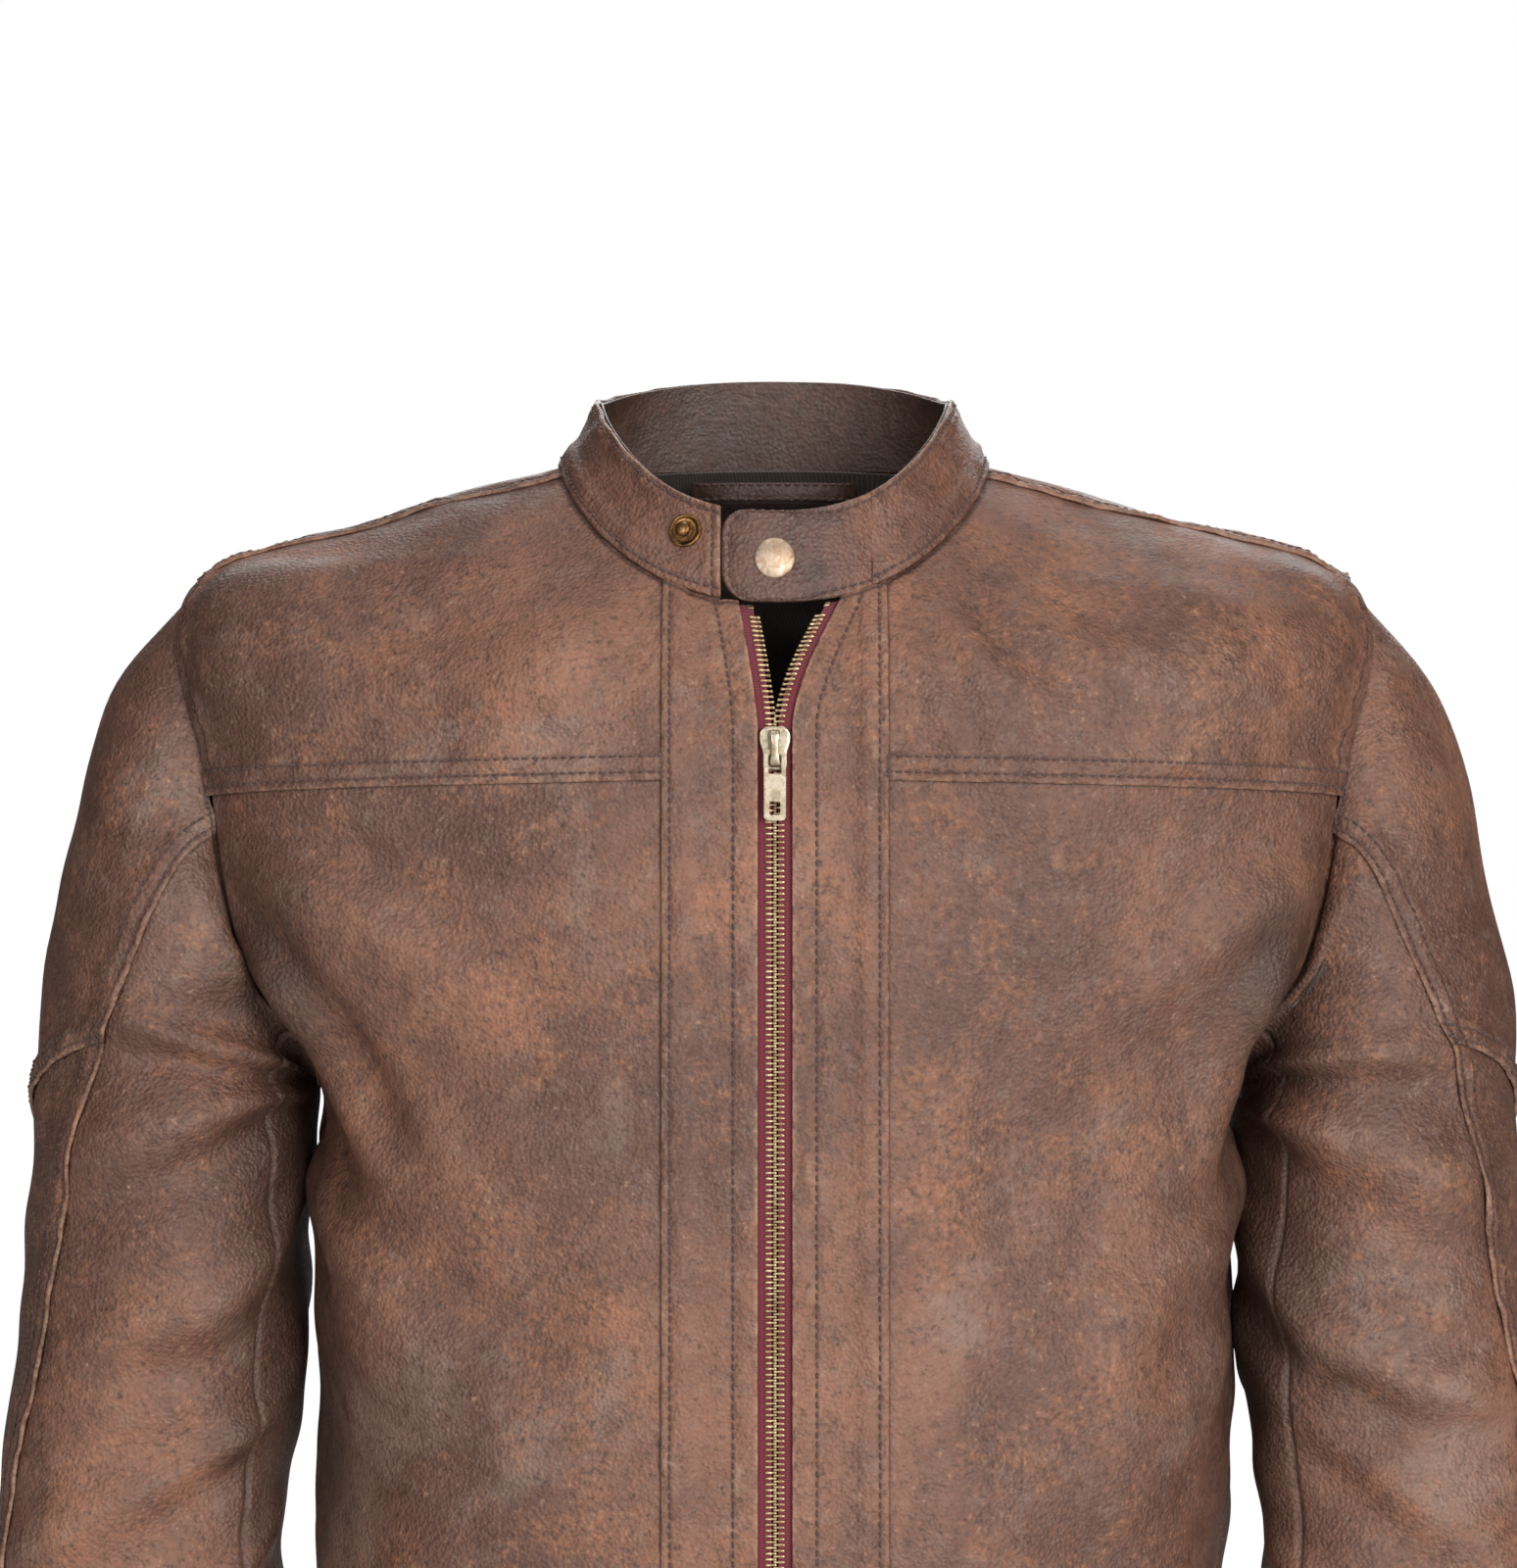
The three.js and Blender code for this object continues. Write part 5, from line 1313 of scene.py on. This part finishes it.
def sleeve_linings():
    for suffix, side in SIDES:
        for name, node, span, top, material, slot in (
            ("cuff_band", "cuff_facing", (7.6, 8.0), 1.8, FACING_LEATHER, "facing_leather"),
            ("arm_lining", "sleeve_lining", (0.08, 7.6), LINING_TOP, LINING, "lining"),
        ):
            patch = sleeve_patch(tube_layout(*span), side, fine=COARSE_MARKS, spacing=5.0)
            name, node = f"{name}_{suffix}", f"{node}_{suffix}"
            layer_piece(name, patch, top, 0.8, material, node, side < 0, closed=True)


# ---- Collar --------------------------------------------------------------------------------

TAB_ROOT, TAB_END, COLLAR_END = 36.0, -19.5, 20.0
TAB_HEIGHT, TAB_CORNER = 34, 10.0


def collar_layout(u, v):
    w = lerp(0.03, 1.0, v)
    start, end = theta_at(TAB_ROOT, collar_half(w)), 360 - theta_at(COLLAR_END, collar_half(w))
    return lerp(start, end, u), w


def tab_layout(u, v):
    beyond = np.maximum(0, TAB_CORNER - np.minimum(v, 1 - v) * TAB_HEIGHT)
    end = TAB_END + TAB_CORNER - np.sqrt(TAB_CORNER**2 - beyond**2)
    return lerp(end, TAB_ROOT + 1.4, u), v


def tab_surface(x, w):
    return collar(collar_theta(x, w), w)


def collar_pieces():
    patch = Patch(collar, collar_layout, laps=dict(bottom=0.6), spacing=3.0)
    relief = 0.35 * SOFT(patch.places) + 0.15 * CREASE(patch.places)
    relief = relief * smooth(0, 6, patch.distance["left"])
    edges = dict(right="fold", bottom="lap", top="fold")
    rows = [("top", 2.6), ("bottom", 3.4), ("right", 3.0)]
    leather_piece("collar_band", patch, relief, edges, rows, "collar_outer", polish=0.35)
    laps = dict(left=-0.5, right=-0.5, bottom=3.0)
    inner = Patch(collar, collar_layout, laps=laps, fine=COARSE_MARKS, spacing=3.0)
    inner.relief = 0.35 * SOFT(inner.places) * smooth(0, 6, inner.distance["left"])
    layer_piece("collar_lining", inner, 1.8, 1.0, FACING_LEATHER, "collar_inner")

    tab = Patch(tab_surface, tab_layout, spacing=2.4)
    d = np.minimum.reduce([tab.distance["left"], tab.distance["bottom"], tab.distance["top"]])
    fallen = lip(d, 1.2)
    valley = 0.5 * bell(d, 3.0, 0.8)
    swell = 0.45 * smooth(3.2, 9.0, d)
    root = smooth(0.0, 16.0, tab.distance["right"])
    sunk = 0.2 * (1 - smooth(0.2, 1.4, tab.distance["right"]))
    free = 1.6 - valley + swell + 0.14 * CREASE(tab.places)
    body = root * free - (1 - root) * (0.15 + 0.5 * valley)
    outer, inner_face = tab.lifted(body - fallen - sunk), tab.lifted(fallen - 0.9)
    wear = 0.7 * bell(d, 0, 0.9) + 0.3 * bell(d, 1.6, 0.8)
    # painted shade in the stitch valley round the strap
    painted_shade = 0.4 * bell(d, 3.0, 0.6)
    polish = 0.35 + 0.65 * smooth(4.0, 26.0, tab.distance["right"])
    strap = shell_piece("collar_strap_leather", outer, inner_face, LEATHER, wear, painted_shade, polish)
    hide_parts("collar_tab")
    threads = Stitches()
    for edge in ("top", "bottom", "left"):
        line, up = line_at(outer, tab.normals, tab.distance[edge], edge, 3.0)
        keep = slice(10, -10) if edge == "left" else slice(6, None)
        threads.along(line[keep], up[keep])
    for piece in (strap, threads.mesh("collar_strap_stitching")):
        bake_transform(piece)


# ---- Hand pocket frame ---------------------------------------------------------------------

POCKET_SCALE = 0.8


def pocket_places(offset, share):
    """Points of the torso beside the pocket's line, with their normals and folds."""
    z = lerp(POCKET_BOTTOM[1], POCKET_TOP[1], share)
    t = row_at_front(z)
    theta = torso_theta_at(lerp(POCKET_BOTTOM[0], POCKET_TOP[0], share) + offset, t)
    points = torso(theta, t)
    return points, normals(torso, theta, t), torso_relief(points, theta, t)


def pocket_frame():
    """The middle of the slot, its directions across, inward and along, and its length."""
    ends, up, _ = pocket_places(np.zeros(3), np.array((0.0, 0.5, 1.0)))
    along = unit(ends[2] - ends[0])
    inward = unit(along * (up[1] @ along) - up[1])
    length = np.linalg.norm(ends[2] - ends[0])
    return (ends[0] + ends[2]) / 2, np.cross(inward, along), inward, along, length


def rectangle(half_width, half_length, radius, count):
    """Stations round a rectangle with round corners, starting at one corner."""
    share = np.linspace(-1, 1, count, endpoint=False)
    full = np.ones(count)
    x = np.concatenate([full, -share, -full, share]) * half_width
    y = np.concatenate([share, full, -share, -full]) * half_length
    inside = np.array((half_width - radius, half_length - radius))
    point = np.stack([x, y], -1)
    beyond = np.abs(point) - inside
    corner = (beyond > 0).all(-1)
    arc = inside + radius * unit(beyond)
    point[corner] = (np.sign(point) * arc)[corner]
    return point


# ---- Metal pieces --------------------------------------------------------------------------


def with_even_normals(piece):
    modifier = piece.modifiers.new("normals", "WEIGHTED_NORMAL")
    modifier.keep_sharp = True
    return piece


def refined(node, name, finish, bevel, body):
    """The node's own shape with its edges rounded over."""
    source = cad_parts[node].data
    mesh = bmesh.new()
    mesh.from_mesh(source)
    bmesh.ops.remove_doubles(mesh, verts=mesh.verts, dist=2e-5)
    bmesh.ops.dissolve_limit(mesh, angle_limit=math.radians(4), verts=mesh.verts, edges=mesh.edges)
    sharp = [e for e in mesh.edges if len(e.link_faces) == 2 and e.calc_face_angle() > math.radians(24)]
    bmesh.ops.bevel(
        mesh, geom=sharp, offset=bevel * MM, segments=2, profile=0.6, affect="EDGES", clamp_overlap=True
    )
    bmesh.ops.triangulate(mesh, faces=[f for f in mesh.faces if len(f.verts) > 4])
    made = bpy.data.meshes.new(name)
    mesh.to_mesh(made)
    mesh.free()
    for face in made.polygons:
        face.use_smooth = True
    return ride_and_replace(with_even_normals(linked(name, made, finish)), body, node)


def brass_end(node, name, bevel):
    refined(node, name, BRASS, bevel, "root")


def turned_points(profile, centre, axis, sides=56):
    """A lathed surface: radius and height pairs about an axis, first and last on it."""
    axis = unit(axis)
    first = unit(np.cross(axis, (0.0, 0.0, 1.0)))
    second = np.cross(axis, first)
    angles = np.linspace(0, 2 * math.pi, sides, endpoint=False)
    circle = np.cos(angles)[:, None] * first + np.sin(angles)[:, None] * second
    rings = [centre + axis * height + circle * max(radius, 0.01) for radius, height in profile]
    return np.concatenate(rings), ring_quads(len(rings), sides)


def rounded(profile, rounds):
    """Cuts the corners of a profile a few times over, keeping its ends."""
    points = np.array(profile, float)
    for _ in range(rounds):
        cut = np.empty((2 * len(points) - 2, 2))
        cut[0::2] = lerp(points[:-1], points[1:], 0.22)
        cut[1::2] = lerp(points[:-1], points[1:], 0.78)
        points = np.concatenate([points[:1], cut, points[-1:]])
    return points


def turned_piece(name, profile, seat, finish, body, node):
    points, faces = turned_points(rounded(profile, 1), *seat)
    ride_and_replace(make_mesh(name, points, [faces], finish), body, node)


CAP_SEAT, STUD_SEAT = (0.0, 0.47), (-33.0, 0.62)


def seat_of(x, w):
    at = (np.array([x]), np.array([w]))
    return tab_surface(*at)[0], normals(tab_surface, *at, step=1e-2)[0]


TAB_PROUD, TAB_THICK = 1.5, 2.4
SHANK_GAP = 0.4  # between the strap and the cap in front of it or the socket behind it


def press_stud():
    """Cap, socket, stud and washer, turned from profiles of radius and height."""
    seat = seat_of(*CAP_SEAT)
    face, back = TAB_PROUD + SHANK_GAP, TAB_PROUD - TAB_THICK - SHANK_GAP
    shank = [(0, -1.9), (1.6, -1.9)]
    dome = [
        (1.6, -0.2), (6.9, -0.2), (7.6, 0.1), (7.7, 0.6), (7.3, 1.15), (6.5, 1.5), (5.4, 1.95),
        (3.6, 2.4), (1.8, 2.58), (0, 2.62),
    ]
    cap = shank + [(radius, face + height) for radius, height in dome]
    turned_piece("press_cap", cap, seat, CAP_METAL, "collar_strap", "snap_cap")
    ring = [
        (2.0, 0), (2.0, -1.0), (3.4, -1.0), (3.4, -2.3), (3.9, -2.5), (4.8, -2.5), (5.2, -2.2),
        (5.2, -0.2), (5.0, 0), (2.0, 0),
    ]
    socket = [(radius, back + height) for radius, height in ring]
    turned_piece("press_socket", socket, seat, BRASS, "collar_strap", "snap_socket")
    seat = seat_of(*STUD_SEAT)
    stud = [
        (0, -3.1), (1.6, -3.1), (1.6, 0.2), (6.0, 0.2), (6.4, 0.45), (6.4, 1.0), (6.1, 1.35),
        (5.4, 1.35), (5.0, 1.0), (4.5, 0.75), (2.6, 0.75), (2.2, 1.1), (2.2, 2.2), (2.8, 2.8),
        (3.0, 3.5), (2.6, 4.2), (1.6, 4.6), (0, 4.7),
    ]
    turned_piece("press_stud", stud, seat, STUD_BRASS, "root", "snap_stud")
    washer = [(0, -4.3), (3.9, -4.3), (4.6, -3.9), (4.6, -3.35), (4.1, -3.1), (0, -3.2)]
    turned_piece("press_washer", washer, seat, BRASS, "root", "snap_post")


# Stations of one zip tooth from its clamped foot to its head: place across, half height, half depth.
TOOTH = [
    (3.75, 0.35, 0.9), (3.6, 0.58, 1.25), (2.7, 0.6, 1.3), (1.5, 0.46, 1.15), (0.6, 0.42, 1.0),
    (0.0, 0.58, 1.1), (-0.5, 0.56, 1.0), (-0.75, 0.35, 0.6),
]
TOOTH_PITCH = 2.1
TOOTH_DEPTH = 2.0  # of the teeth's middle, behind the leather's face


def tooth_template(scale):
    corners = np.array([(1, 0.5), (0.5, 1), (-0.5, 1), (-1, 0.5)])
    corners = np.concatenate([corners, -corners])
    rings = [
        np.stack([np.full(8, x), corners[:, 0] * tall, corners[:, 1] * deep], -1) * scale
        for x, tall, deep in TOOTH
    ]
    caps = np.array([(0, 7, 6, 1), (1, 6, 5, 2), (2, 5, 4, 3)])
    last = 8 * (len(TOOTH) - 1)
    faces = np.concatenate([ring_quads(len(TOOTH), 8), caps, caps[:, ::-1] + last])
    return np.concatenate(rings), faces


ZIP_BOTTOM_ROW = row_at_front(-BODY_LENGTH + 20.5)


def chain_teeth(suffix, side):
    """The teeth of one side, set along the tape's edge; the two sides alternate."""
    t = np.linspace(ZIP_BOTTOM_ROW, NECK, 900)
    shift = opening_shift(t, side)

    def line(offset):
        places = torso(torso_theta_at(offset + shift, t), t)
        return places * np.array((side, 1, 1))

    inner, outer = line(0.6), line(4.0)
    run = run_along(inner)
    start = 0.9 if side > 0 else 0.9 + TOOTH_PITCH / 2
    at = np.arange(start, run[-1] - 5.5, TOOTH_PITCH)

    low, high = picked(at, run, inner), picked(at, run, outer)
    across = unit(high - low)
    along = picked(at, run, np.gradient(inner, axis=0))
    along = unit(along - (along * across).sum(-1, keepdims=True) * across)
    normal = np.cross(across, along) * side
    normal *= np.sign(-normal[:, 1:2])
    centres = low - 0.6 * across - normal * TOOTH_DEPTH
    template, faces = tooth_template(1.0)
    points, quads = stamped(template, faces, centres, across, along, normal)
    if side < 0:
        quads = quads[:, ::-1]
    piece = make_mesh(f"chain_teeth_{suffix}", points, [quads], BRASS)
    ride_and_replace(piece, "root", f"zip_teeth_{suffix}")


def chain_tape(suffix, side):
    """The woven tape with the corded edge that carries the teeth."""
    strip = strip_layout(lambda shift: 1.3 + shift, lambda shift: 15.3 + shift, side, ZIP_BOTTOM_ROW)
    marks = np.array([0, 0.2, 0.5, 0.8, 1.1, 1.5, 2.2, 3.2])
    patch = torso_patch(strip, side, laps=dict(top=-0.6), fine=marks, spacing=2.6, dense=220)
    bead = 0.5 * bell(patch.distance["left"], 0.6, 0.45)
    outer, inner = patch.lifted(patch.relief - 1.7 + bead), patch.lifted(patch.relief - 2.25 - bead)
    piece = shell_piece(f"chain_tape_{suffix}", outer, inner, TAPE, flip=side < 0)
    ride_and_replace(piece, "root", f"zip_tape_{suffix}")


def inset(outline, amount):
    """A closed outline drawn in by an amount."""
    way = unit(np.roll(outline, -1, 0) - np.roll(outline, 1, 0))
    return outline - np.stack([way[:, 1], -way[:, 0]], -1) * amount


def slab(outline, levels):
    """A closed plate: rings of the outline at pairs of inset and depth, each end filled by a fan."""
    rings = []
    for amount, depth in levels:
        ring = inset(outline, amount)
        rings.append(np.stack([ring[:, 0], np.full(len(ring), depth), ring[:, 1]], -1))
    middles = [ring.mean(0, keepdims=True) for ring in (rings[0], rings[-1])]
    points = np.concatenate(rings + middles)
    count, last = len(outline), len(outline) * len(rings)
    first = np.arange(count)
    end = first + last - count
    fans = [
        np.stack([np.full(count, last), np.roll(first, -1), first], -1),
        np.stack([np.full(count, last + 1), end, np.roll(end, -1)], -1),
    ]
    return points, [ring_quads(len(rings), count), np.concatenate(fans)]


SLIDER_HALF = 8.0
SLIDER_FRONT = -4.8  # the bridge's crest, from the leather's face inward
# The slider's plates, as pairs of inset and depth.
FRONT_PLATE = [
    (1.2, -0.75), (0.5, -0.72), (0.14, -0.5), (0.0, -0.1), (0.0, 1.2), (0.35, 1.35), (0.7, 1.2),
    (0.8, 0.4),
]
BACK_PLATE = [(0.8, 3.6), (0.0, 3.7), (0.0, 4.3), (0.3, 4.6)]


def slider_outline(count=26):
    """The shield of a zip slider: narrow below, wide round shoulders above."""
    z = SLIDER_HALF * -np.cos(np.linspace(0, math.pi, count))
    flare = smooth(-2.5, 3.6, z)
    half = 4.5 + 1.3 * flare
    low = np.clip((-z - SLIDER_HALF + 1.6) / 1.6, 0, 1)
    high = np.clip((z - SLIDER_HALF + 3.4) / 3.4, 0, 1)
    half = half - 1.6 * (1 - np.sqrt(1 - 0.98 * low**2)) - 2.9 * (1 - np.sqrt(1 - 0.98 * high**2))
    right = np.stack([half, z], -1)
    return np.concatenate([right, (right * (-1, 1))[::-1]])


def bridge():
    """The arch over the plate that the pull hangs on."""
    path = rounded([(0.3, 6.5), (-3.2, 6.3), (-4.3, 5.0), (-4.3, -4.4), (-3.4, -6.2), (0.3, -6.5)], 3)
    way = unit(np.gradient(path, axis=0))
    out = np.stack([way[:, 1], -way[:, 0]], -1)
    turn = np.radians(np.arange(0, 360, 22.5))
    across, along = (np.sign(wave) * np.abs(wave) ** 0.7 for wave in (np.cos(turn), np.sin(turn)))
    crest = smooth(6.5, 1.0, np.abs(path[:, 1] - 0.5))
    points = np.stack(
        [
            across[None] * (1.9 - 0.5 * crest)[:, None],
            path[:, :1] + out[:, :1] * along[None] * 0.5,
            path[:, 1:] + out[:, 1:] * along[None] * 0.5,
        ],
        -1,
    )
    return points.reshape(-1, 3), [ring_quads(*points.shape[:2])]


def slider_piece(name, node, place, body, scale):
    """The slider's two plates, its rolled sides, the post between them and the bridge."""
    origin, across, inward, along = place
    shield = slider_outline()
    post = rectangle(0.7, 3.0, 0.5, 6) + (0, 4.6)
    shapes = [
        slab(shield, FRONT_PLATE),
        slab(shield, BACK_PLATE),
        slab(post, [(0.0, 0.0), (0.0, 4.0)]),
        bridge(),
    ]
    points, quads, fans, count = [], [], [], 0
    for shape, groups in shapes:
        points.append(shape)
        for group in groups:
            (quads if group.shape[1] == 4 else fans).append(group + count)
        count += len(shape)
    local = np.concatenate(points) * scale
    made = origin + local[:, :1] * across + local[:, 1:2] * inward + local[:, 2:] * along
    flip = np.linalg.det(np.stack([across, inward, along])) < 0
    faces = [np.concatenate(quads), np.concatenate(fans)]
    if flip:
        faces = [f[:, ::-1] for f in faces]
    piece = with_even_normals(make_mesh(name, made, faces, NICKEL))
    ride_and_replace(piece, body, node)


def main_slider_place():
    low, high = (np.array(corner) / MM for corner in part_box("zip_slider"))
    return np.array((0.0, low[1] - SLIDER_FRONT, (low[2] + high[2]) / 2)), *np.eye(3)


def pocket_slider_place(side):
    middle, across, inward, along, length = pocket_frame()
    turn = np.array((side, 1, 1))
    origin = middle + along * (length / 2 - 2 * SLIDER_HALF * POCKET_SCALE)
    return origin * turn, across * turn, inward * turn, along * turn


def zip_pieces():
    for suffix, side in SIDES:
        chain_tape(suffix, side)
        chain_teeth(suffix, side)
        brass_end(f"top_stop_{suffix}", f"zip_end_stop_{suffix}", 0.35)
    brass_end("retainer_box", "zip_box", 0.5)
    brass_end("insertion_pin", "zip_pin", 0.5)
    slider_piece("front_slider", "zip_slider", main_slider_place(), "slider", 1.0)
    refined("zip_pull", "front_pull", NICKEL, 0.3, "pull")
    for suffix, side in SIDES:
        name = "left" if side > 0 else "right"
        place, node = pocket_slider_place(side), f"pocket_slider_{suffix}"
        slider_piece(f"hand_slider_{suffix}", node, place, f"pocket_slider_{name}", POCKET_SCALE)
        node, body = f"pocket_pull_{suffix}", f"pocket_pull_{name}"
        refined(node, f"hand_pull_{suffix}", NICKEL, 0.22, body)


# ---- Hand pockets, label and loop ----------------------------------------------------------

WELT_STATIONS = 90
POCKET_HEIGHT = POCKET_TOP[1] - POCKET_BOTTOM[1]
BAG_HALF, BAG_RUN_ON = 18, 4
LABEL_TOP, LABEL_THICK = 4.4, 0.9
LOOP_HALF_THICK = 0.75


def pocket_welt(suffix, side, length):
    """The lip of leather folded round the slot, with a row of stitches at each edge."""
    slot = rectangle(POCKET_SLOT_HALF - 0.2, length / 2 - 1.8, 0.6, WELT_STATIONS)
    rim = rectangle(WELT_HALF, length / 2 + WELT_MARGIN, 4.0, WELT_STATIONS)
    width = np.linalg.norm(rim - slot, axis=-1)[:, None]
    reach = np.array([0, 0.15, 0.4, 0.8, 1.3, 1.8, 2.2, 2.6, 3.2, 3.8, 4.3, 4.7, 5.0, 5.2])
    share = reach[None] / reach[-1] * np.ones_like(width)
    spots = lerp(slot[:, None], rim[:, None], share[..., None])
    points, up, relief = pocket_places(spots[..., 0], 0.5 + spots[..., 1] / length)
    near_slot, near_rim = share * 5.2, (1 - share) * 5.2
    tall = lerp(1.2, 0.6, smooth(length / 2 - 8, length / 2 - 1, np.abs(spots[..., 1])))
    height = tall - tall / 1.3 * (lip(near_slot, 1.3) + lip(near_rim, 1.0))
    height = height - 0.3 * bell(near_slot, 2.2, 0.5) + 0.12 * PUCKER(points)
    under = np.where(near_slot < 1.0, -1.6, -0.4)
    if side < 0:
        points, up = points * (-1, 1, 1), up * (-1, 1, 1)
    top = points + up * (relief + height)[..., None]
    bottom = points + up * (relief + under)[..., None]
    wear = 0.7 * bell(near_slot, 0, 0.9) + 0.6 * bell(near_rim, 0, 0.7)
    # painted shade in the stitch valley beside the slot
    painted_shade = 0.35 * bell(near_slot, 2.2, 0.5)
    top, bottom, up = top.transpose(1, 0, 2), bottom.transpose(1, 0, 2), up.transpose(1, 0, 2)
    piece = shell_piece(
        f"pocket_lip_{suffix}", top, bottom, LEATHER, wear.T, painted_shade.T, closed=True, flip=side > 0
    )
    ride_and_replace(piece, "root", f"pocket_welt_{suffix}")
    threads = Stitches()
    row = int(np.searchsorted(reach, 2.2))
    threads.along(np.concatenate([top[row], top[row, :1]]), np.concatenate([up[row], up[row, :1]]))
    threads.make(f"pocket_lip_{suffix}_stitching")


def pocket_chain(suffix, side, axes):
    """Both tapes and both rows of teeth, set behind the slot."""
    middle, across, inward, along, length = axes
    turn = np.array((side, 1, 1))
    end = length / 2 + 4.0
    template, quads = tooth_template(POCKET_SCALE)
    for half in (-1, 1):
        reach = np.array([0.8, 1.0, 1.3, 1.7, 2.4, 3.2, 4.2, 4.9, 5.3, 5.8, 7.0, 8.4, 9.2, 9.5])
        run = np.linspace(-end, end, 90)
        a, b = np.meshgrid(reach, run)
        depth = 1.4 + 1.1 * smooth(4.8, 5.8, a)
        places = middle + across * (half * a)[..., None] + along * b[..., None]
        bead = 0.4 * bell(a, 1.2, 0.4)
        front = (places + inward * (depth - bead)[..., None]) * turn
        back = (places + inward * (depth + 0.5 + bead)[..., None]) * turn
        row, flip = f"{suffix}_{'ab'[half > 0]}", half * side < 0
        tape = shell_piece(f"pocket_tape_{row}", front, back, TAPE, flip=flip)
        ride_and_replace(tape, "root", f"pocket_zip_{suffix}")
        pitch = TOOTH_PITCH * POCKET_SCALE
        at = np.arange(-length / 2 + 1.0 + (half > 0) * pitch / 2, length / 2 - 1.0, pitch)
        centres = middle + along * at[:, None] + inward * TOOTH_DEPTH * POCKET_SCALE
        ways = (np.tile(way, (len(at), 1)) for way in (across * half, along, -inward))
        points, faces = stamped(template, quads, centres, *ways)
        faces = faces[:, ::-1] if flip else faces
        teeth = make_mesh(f"pocket_teeth_{row}", points * turn, [faces], BRASS)
        ride_and_replace(teeth, "root", f"pocket_zip_{suffix}")


def pocket_bag(suffix, side):
    """The cotton pouch behind the slot, gathered at its sewn edge, with a channel for the slider."""
    run_on = BAG_RUN_ON / POCKET_HEIGHT
    across, up_slot = np.linspace(-BAG_HALF, BAG_HALF, 61), np.linspace(-run_on, 1 + run_on, 121)
    offset, share = np.meshgrid(across, up_slot)
    points, up, relief = pocket_places(offset, share)
    ends = (0.5 - np.abs(share - 0.5)) * POCKET_HEIGHT + BAG_RUN_ON
    edge = np.minimum(BAG_HALF - np.abs(offset), ends)
    pinch = 1 - smooth(0.0, 5.0, edge)
    channel = 1 - smooth(4.6, 5.8, np.abs(offset))
    top = 4.1 + 1.2 * channel + 0.9 * pinch + 0.15 * CREASE(points) * (1 - channel)
    bottom = 6.6 - 0.8 * pinch + 0.15 * PUCKER_WIDE(points) * pinch
    outer, inner = points + up * (relief - top)[..., None], points + up * (relief - bottom)[..., None]
    turn = np.array((side, 1, 1))
    piece = shell_piece(f"pocket_pouch_{suffix}", outer * turn, inner * turn, LINING, flip=side < 0)
    ride_and_replace(piece, "root", f"pocket_bag_{suffix}")


def neck_label():
    """A blank leather patch sewn inside the back of the neck."""
    low, high = (np.array(corner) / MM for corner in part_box("neck_label"))
    rows = np.linspace(YOKE, NECK, 600)
    heights = torso(np.full(600, 180.0), rows)[:, 2]
    order = np.argsort(heights)
    first, last = np.interp((low[2], high[2]), heights[order], rows[order])

    def layout(u, v):
        t = lerp(first, last, v)
        x = lerp(high[0], low[0], u)
        return 180 - np.sign(x) * torso_theta_at(np.abs(x), t), t

    patch = torso_patch(layout, fine=COARSE_MARKS, spacing=2.0)
    edge = np.minimum.reduce(list(patch.distance.values()))
    rolled = 0.3 * (1 - smooth(0, 0.9, edge))
    seam = 0.2 * bell(edge, 2.0, 0.5)
    outer = patch.lifted(patch.relief - LABEL_TOP)
    inner = patch.lifted(patch.relief - LABEL_TOP - LABEL_THICK + rolled + seam)
    piece = shell_piece("size_label", outer, inner, FACING_LEATHER)
    ride_and_replace(piece, "root", "neck_label")
    threads = Stitches()
    for name, distance in patch.distance.items():
        line, up = line_at(inner, -patch.normals, distance, name, 2.0)
        threads.along(line[3:-3], up[3:-3])
    threads.make("size_label_stitching")


def hanging_loop():
    """A folded strap, sewn down at both ends, that bows away from the neck."""
    low, high = (np.array(corner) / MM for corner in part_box("hanger_loop"))
    half, bow = high[0], high[1] - low[1] - 1.6
    tall = (high[2] - low[2]) / 2
    share, across = np.meshgrid(np.linspace(-1, 1, 121), np.cos(np.linspace(math.pi, 0, 15)))
    flat = smooth(0.80, 0.94, np.abs(share))
    y = high[1] - 0.8 - bow * (1 - share**4) + 0.25 * np.sin(9 * share) * across * (1 - flat)
    z = (low[2] + high[2]) / 2 + across * tall * (1 - 0.1 * (1 - flat))
    centre = np.stack([share * half, y, z], -1)
    up = unit(np.cross(np.gradient(centre, axis=1), np.gradient(centre, axis=0)))
    up *= np.where(up[..., 1:2] > 0, -1, 1)
    swell = LOOP_HALF_THICK * np.sqrt(1 - 0.9 * across**2)[..., None]
    sewn = 0.1 * bell(np.abs(across), 0.6, 0.1)[..., None]
    outer, inner = centre + up * (swell - sewn), centre - up * swell
    piece = shell_piece("hanging_strap", outer, inner, FACING_LEATHER, flip=True)
    ride_and_replace(piece, "root", "hanger_loop")
    threads = Stitches()
    for row in (3, 11):
        threads.along(outer[row, 4:-4], up[row, 4:-4])
    threads.make("hanging_strap_stitching")


def pockets():
    axes = pocket_frame()
    for suffix, side in SIDES:
        pocket_welt(suffix, side, axes[-1])
        pocket_chain(suffix, side, axes)
        pocket_bag(suffix, side)


body_panels()
sleeves()
inner_layers()
sleeve_linings()
collar_pieces()
press_stud()
zip_pieces()
pockets()
neck_label()
hanging_loop()
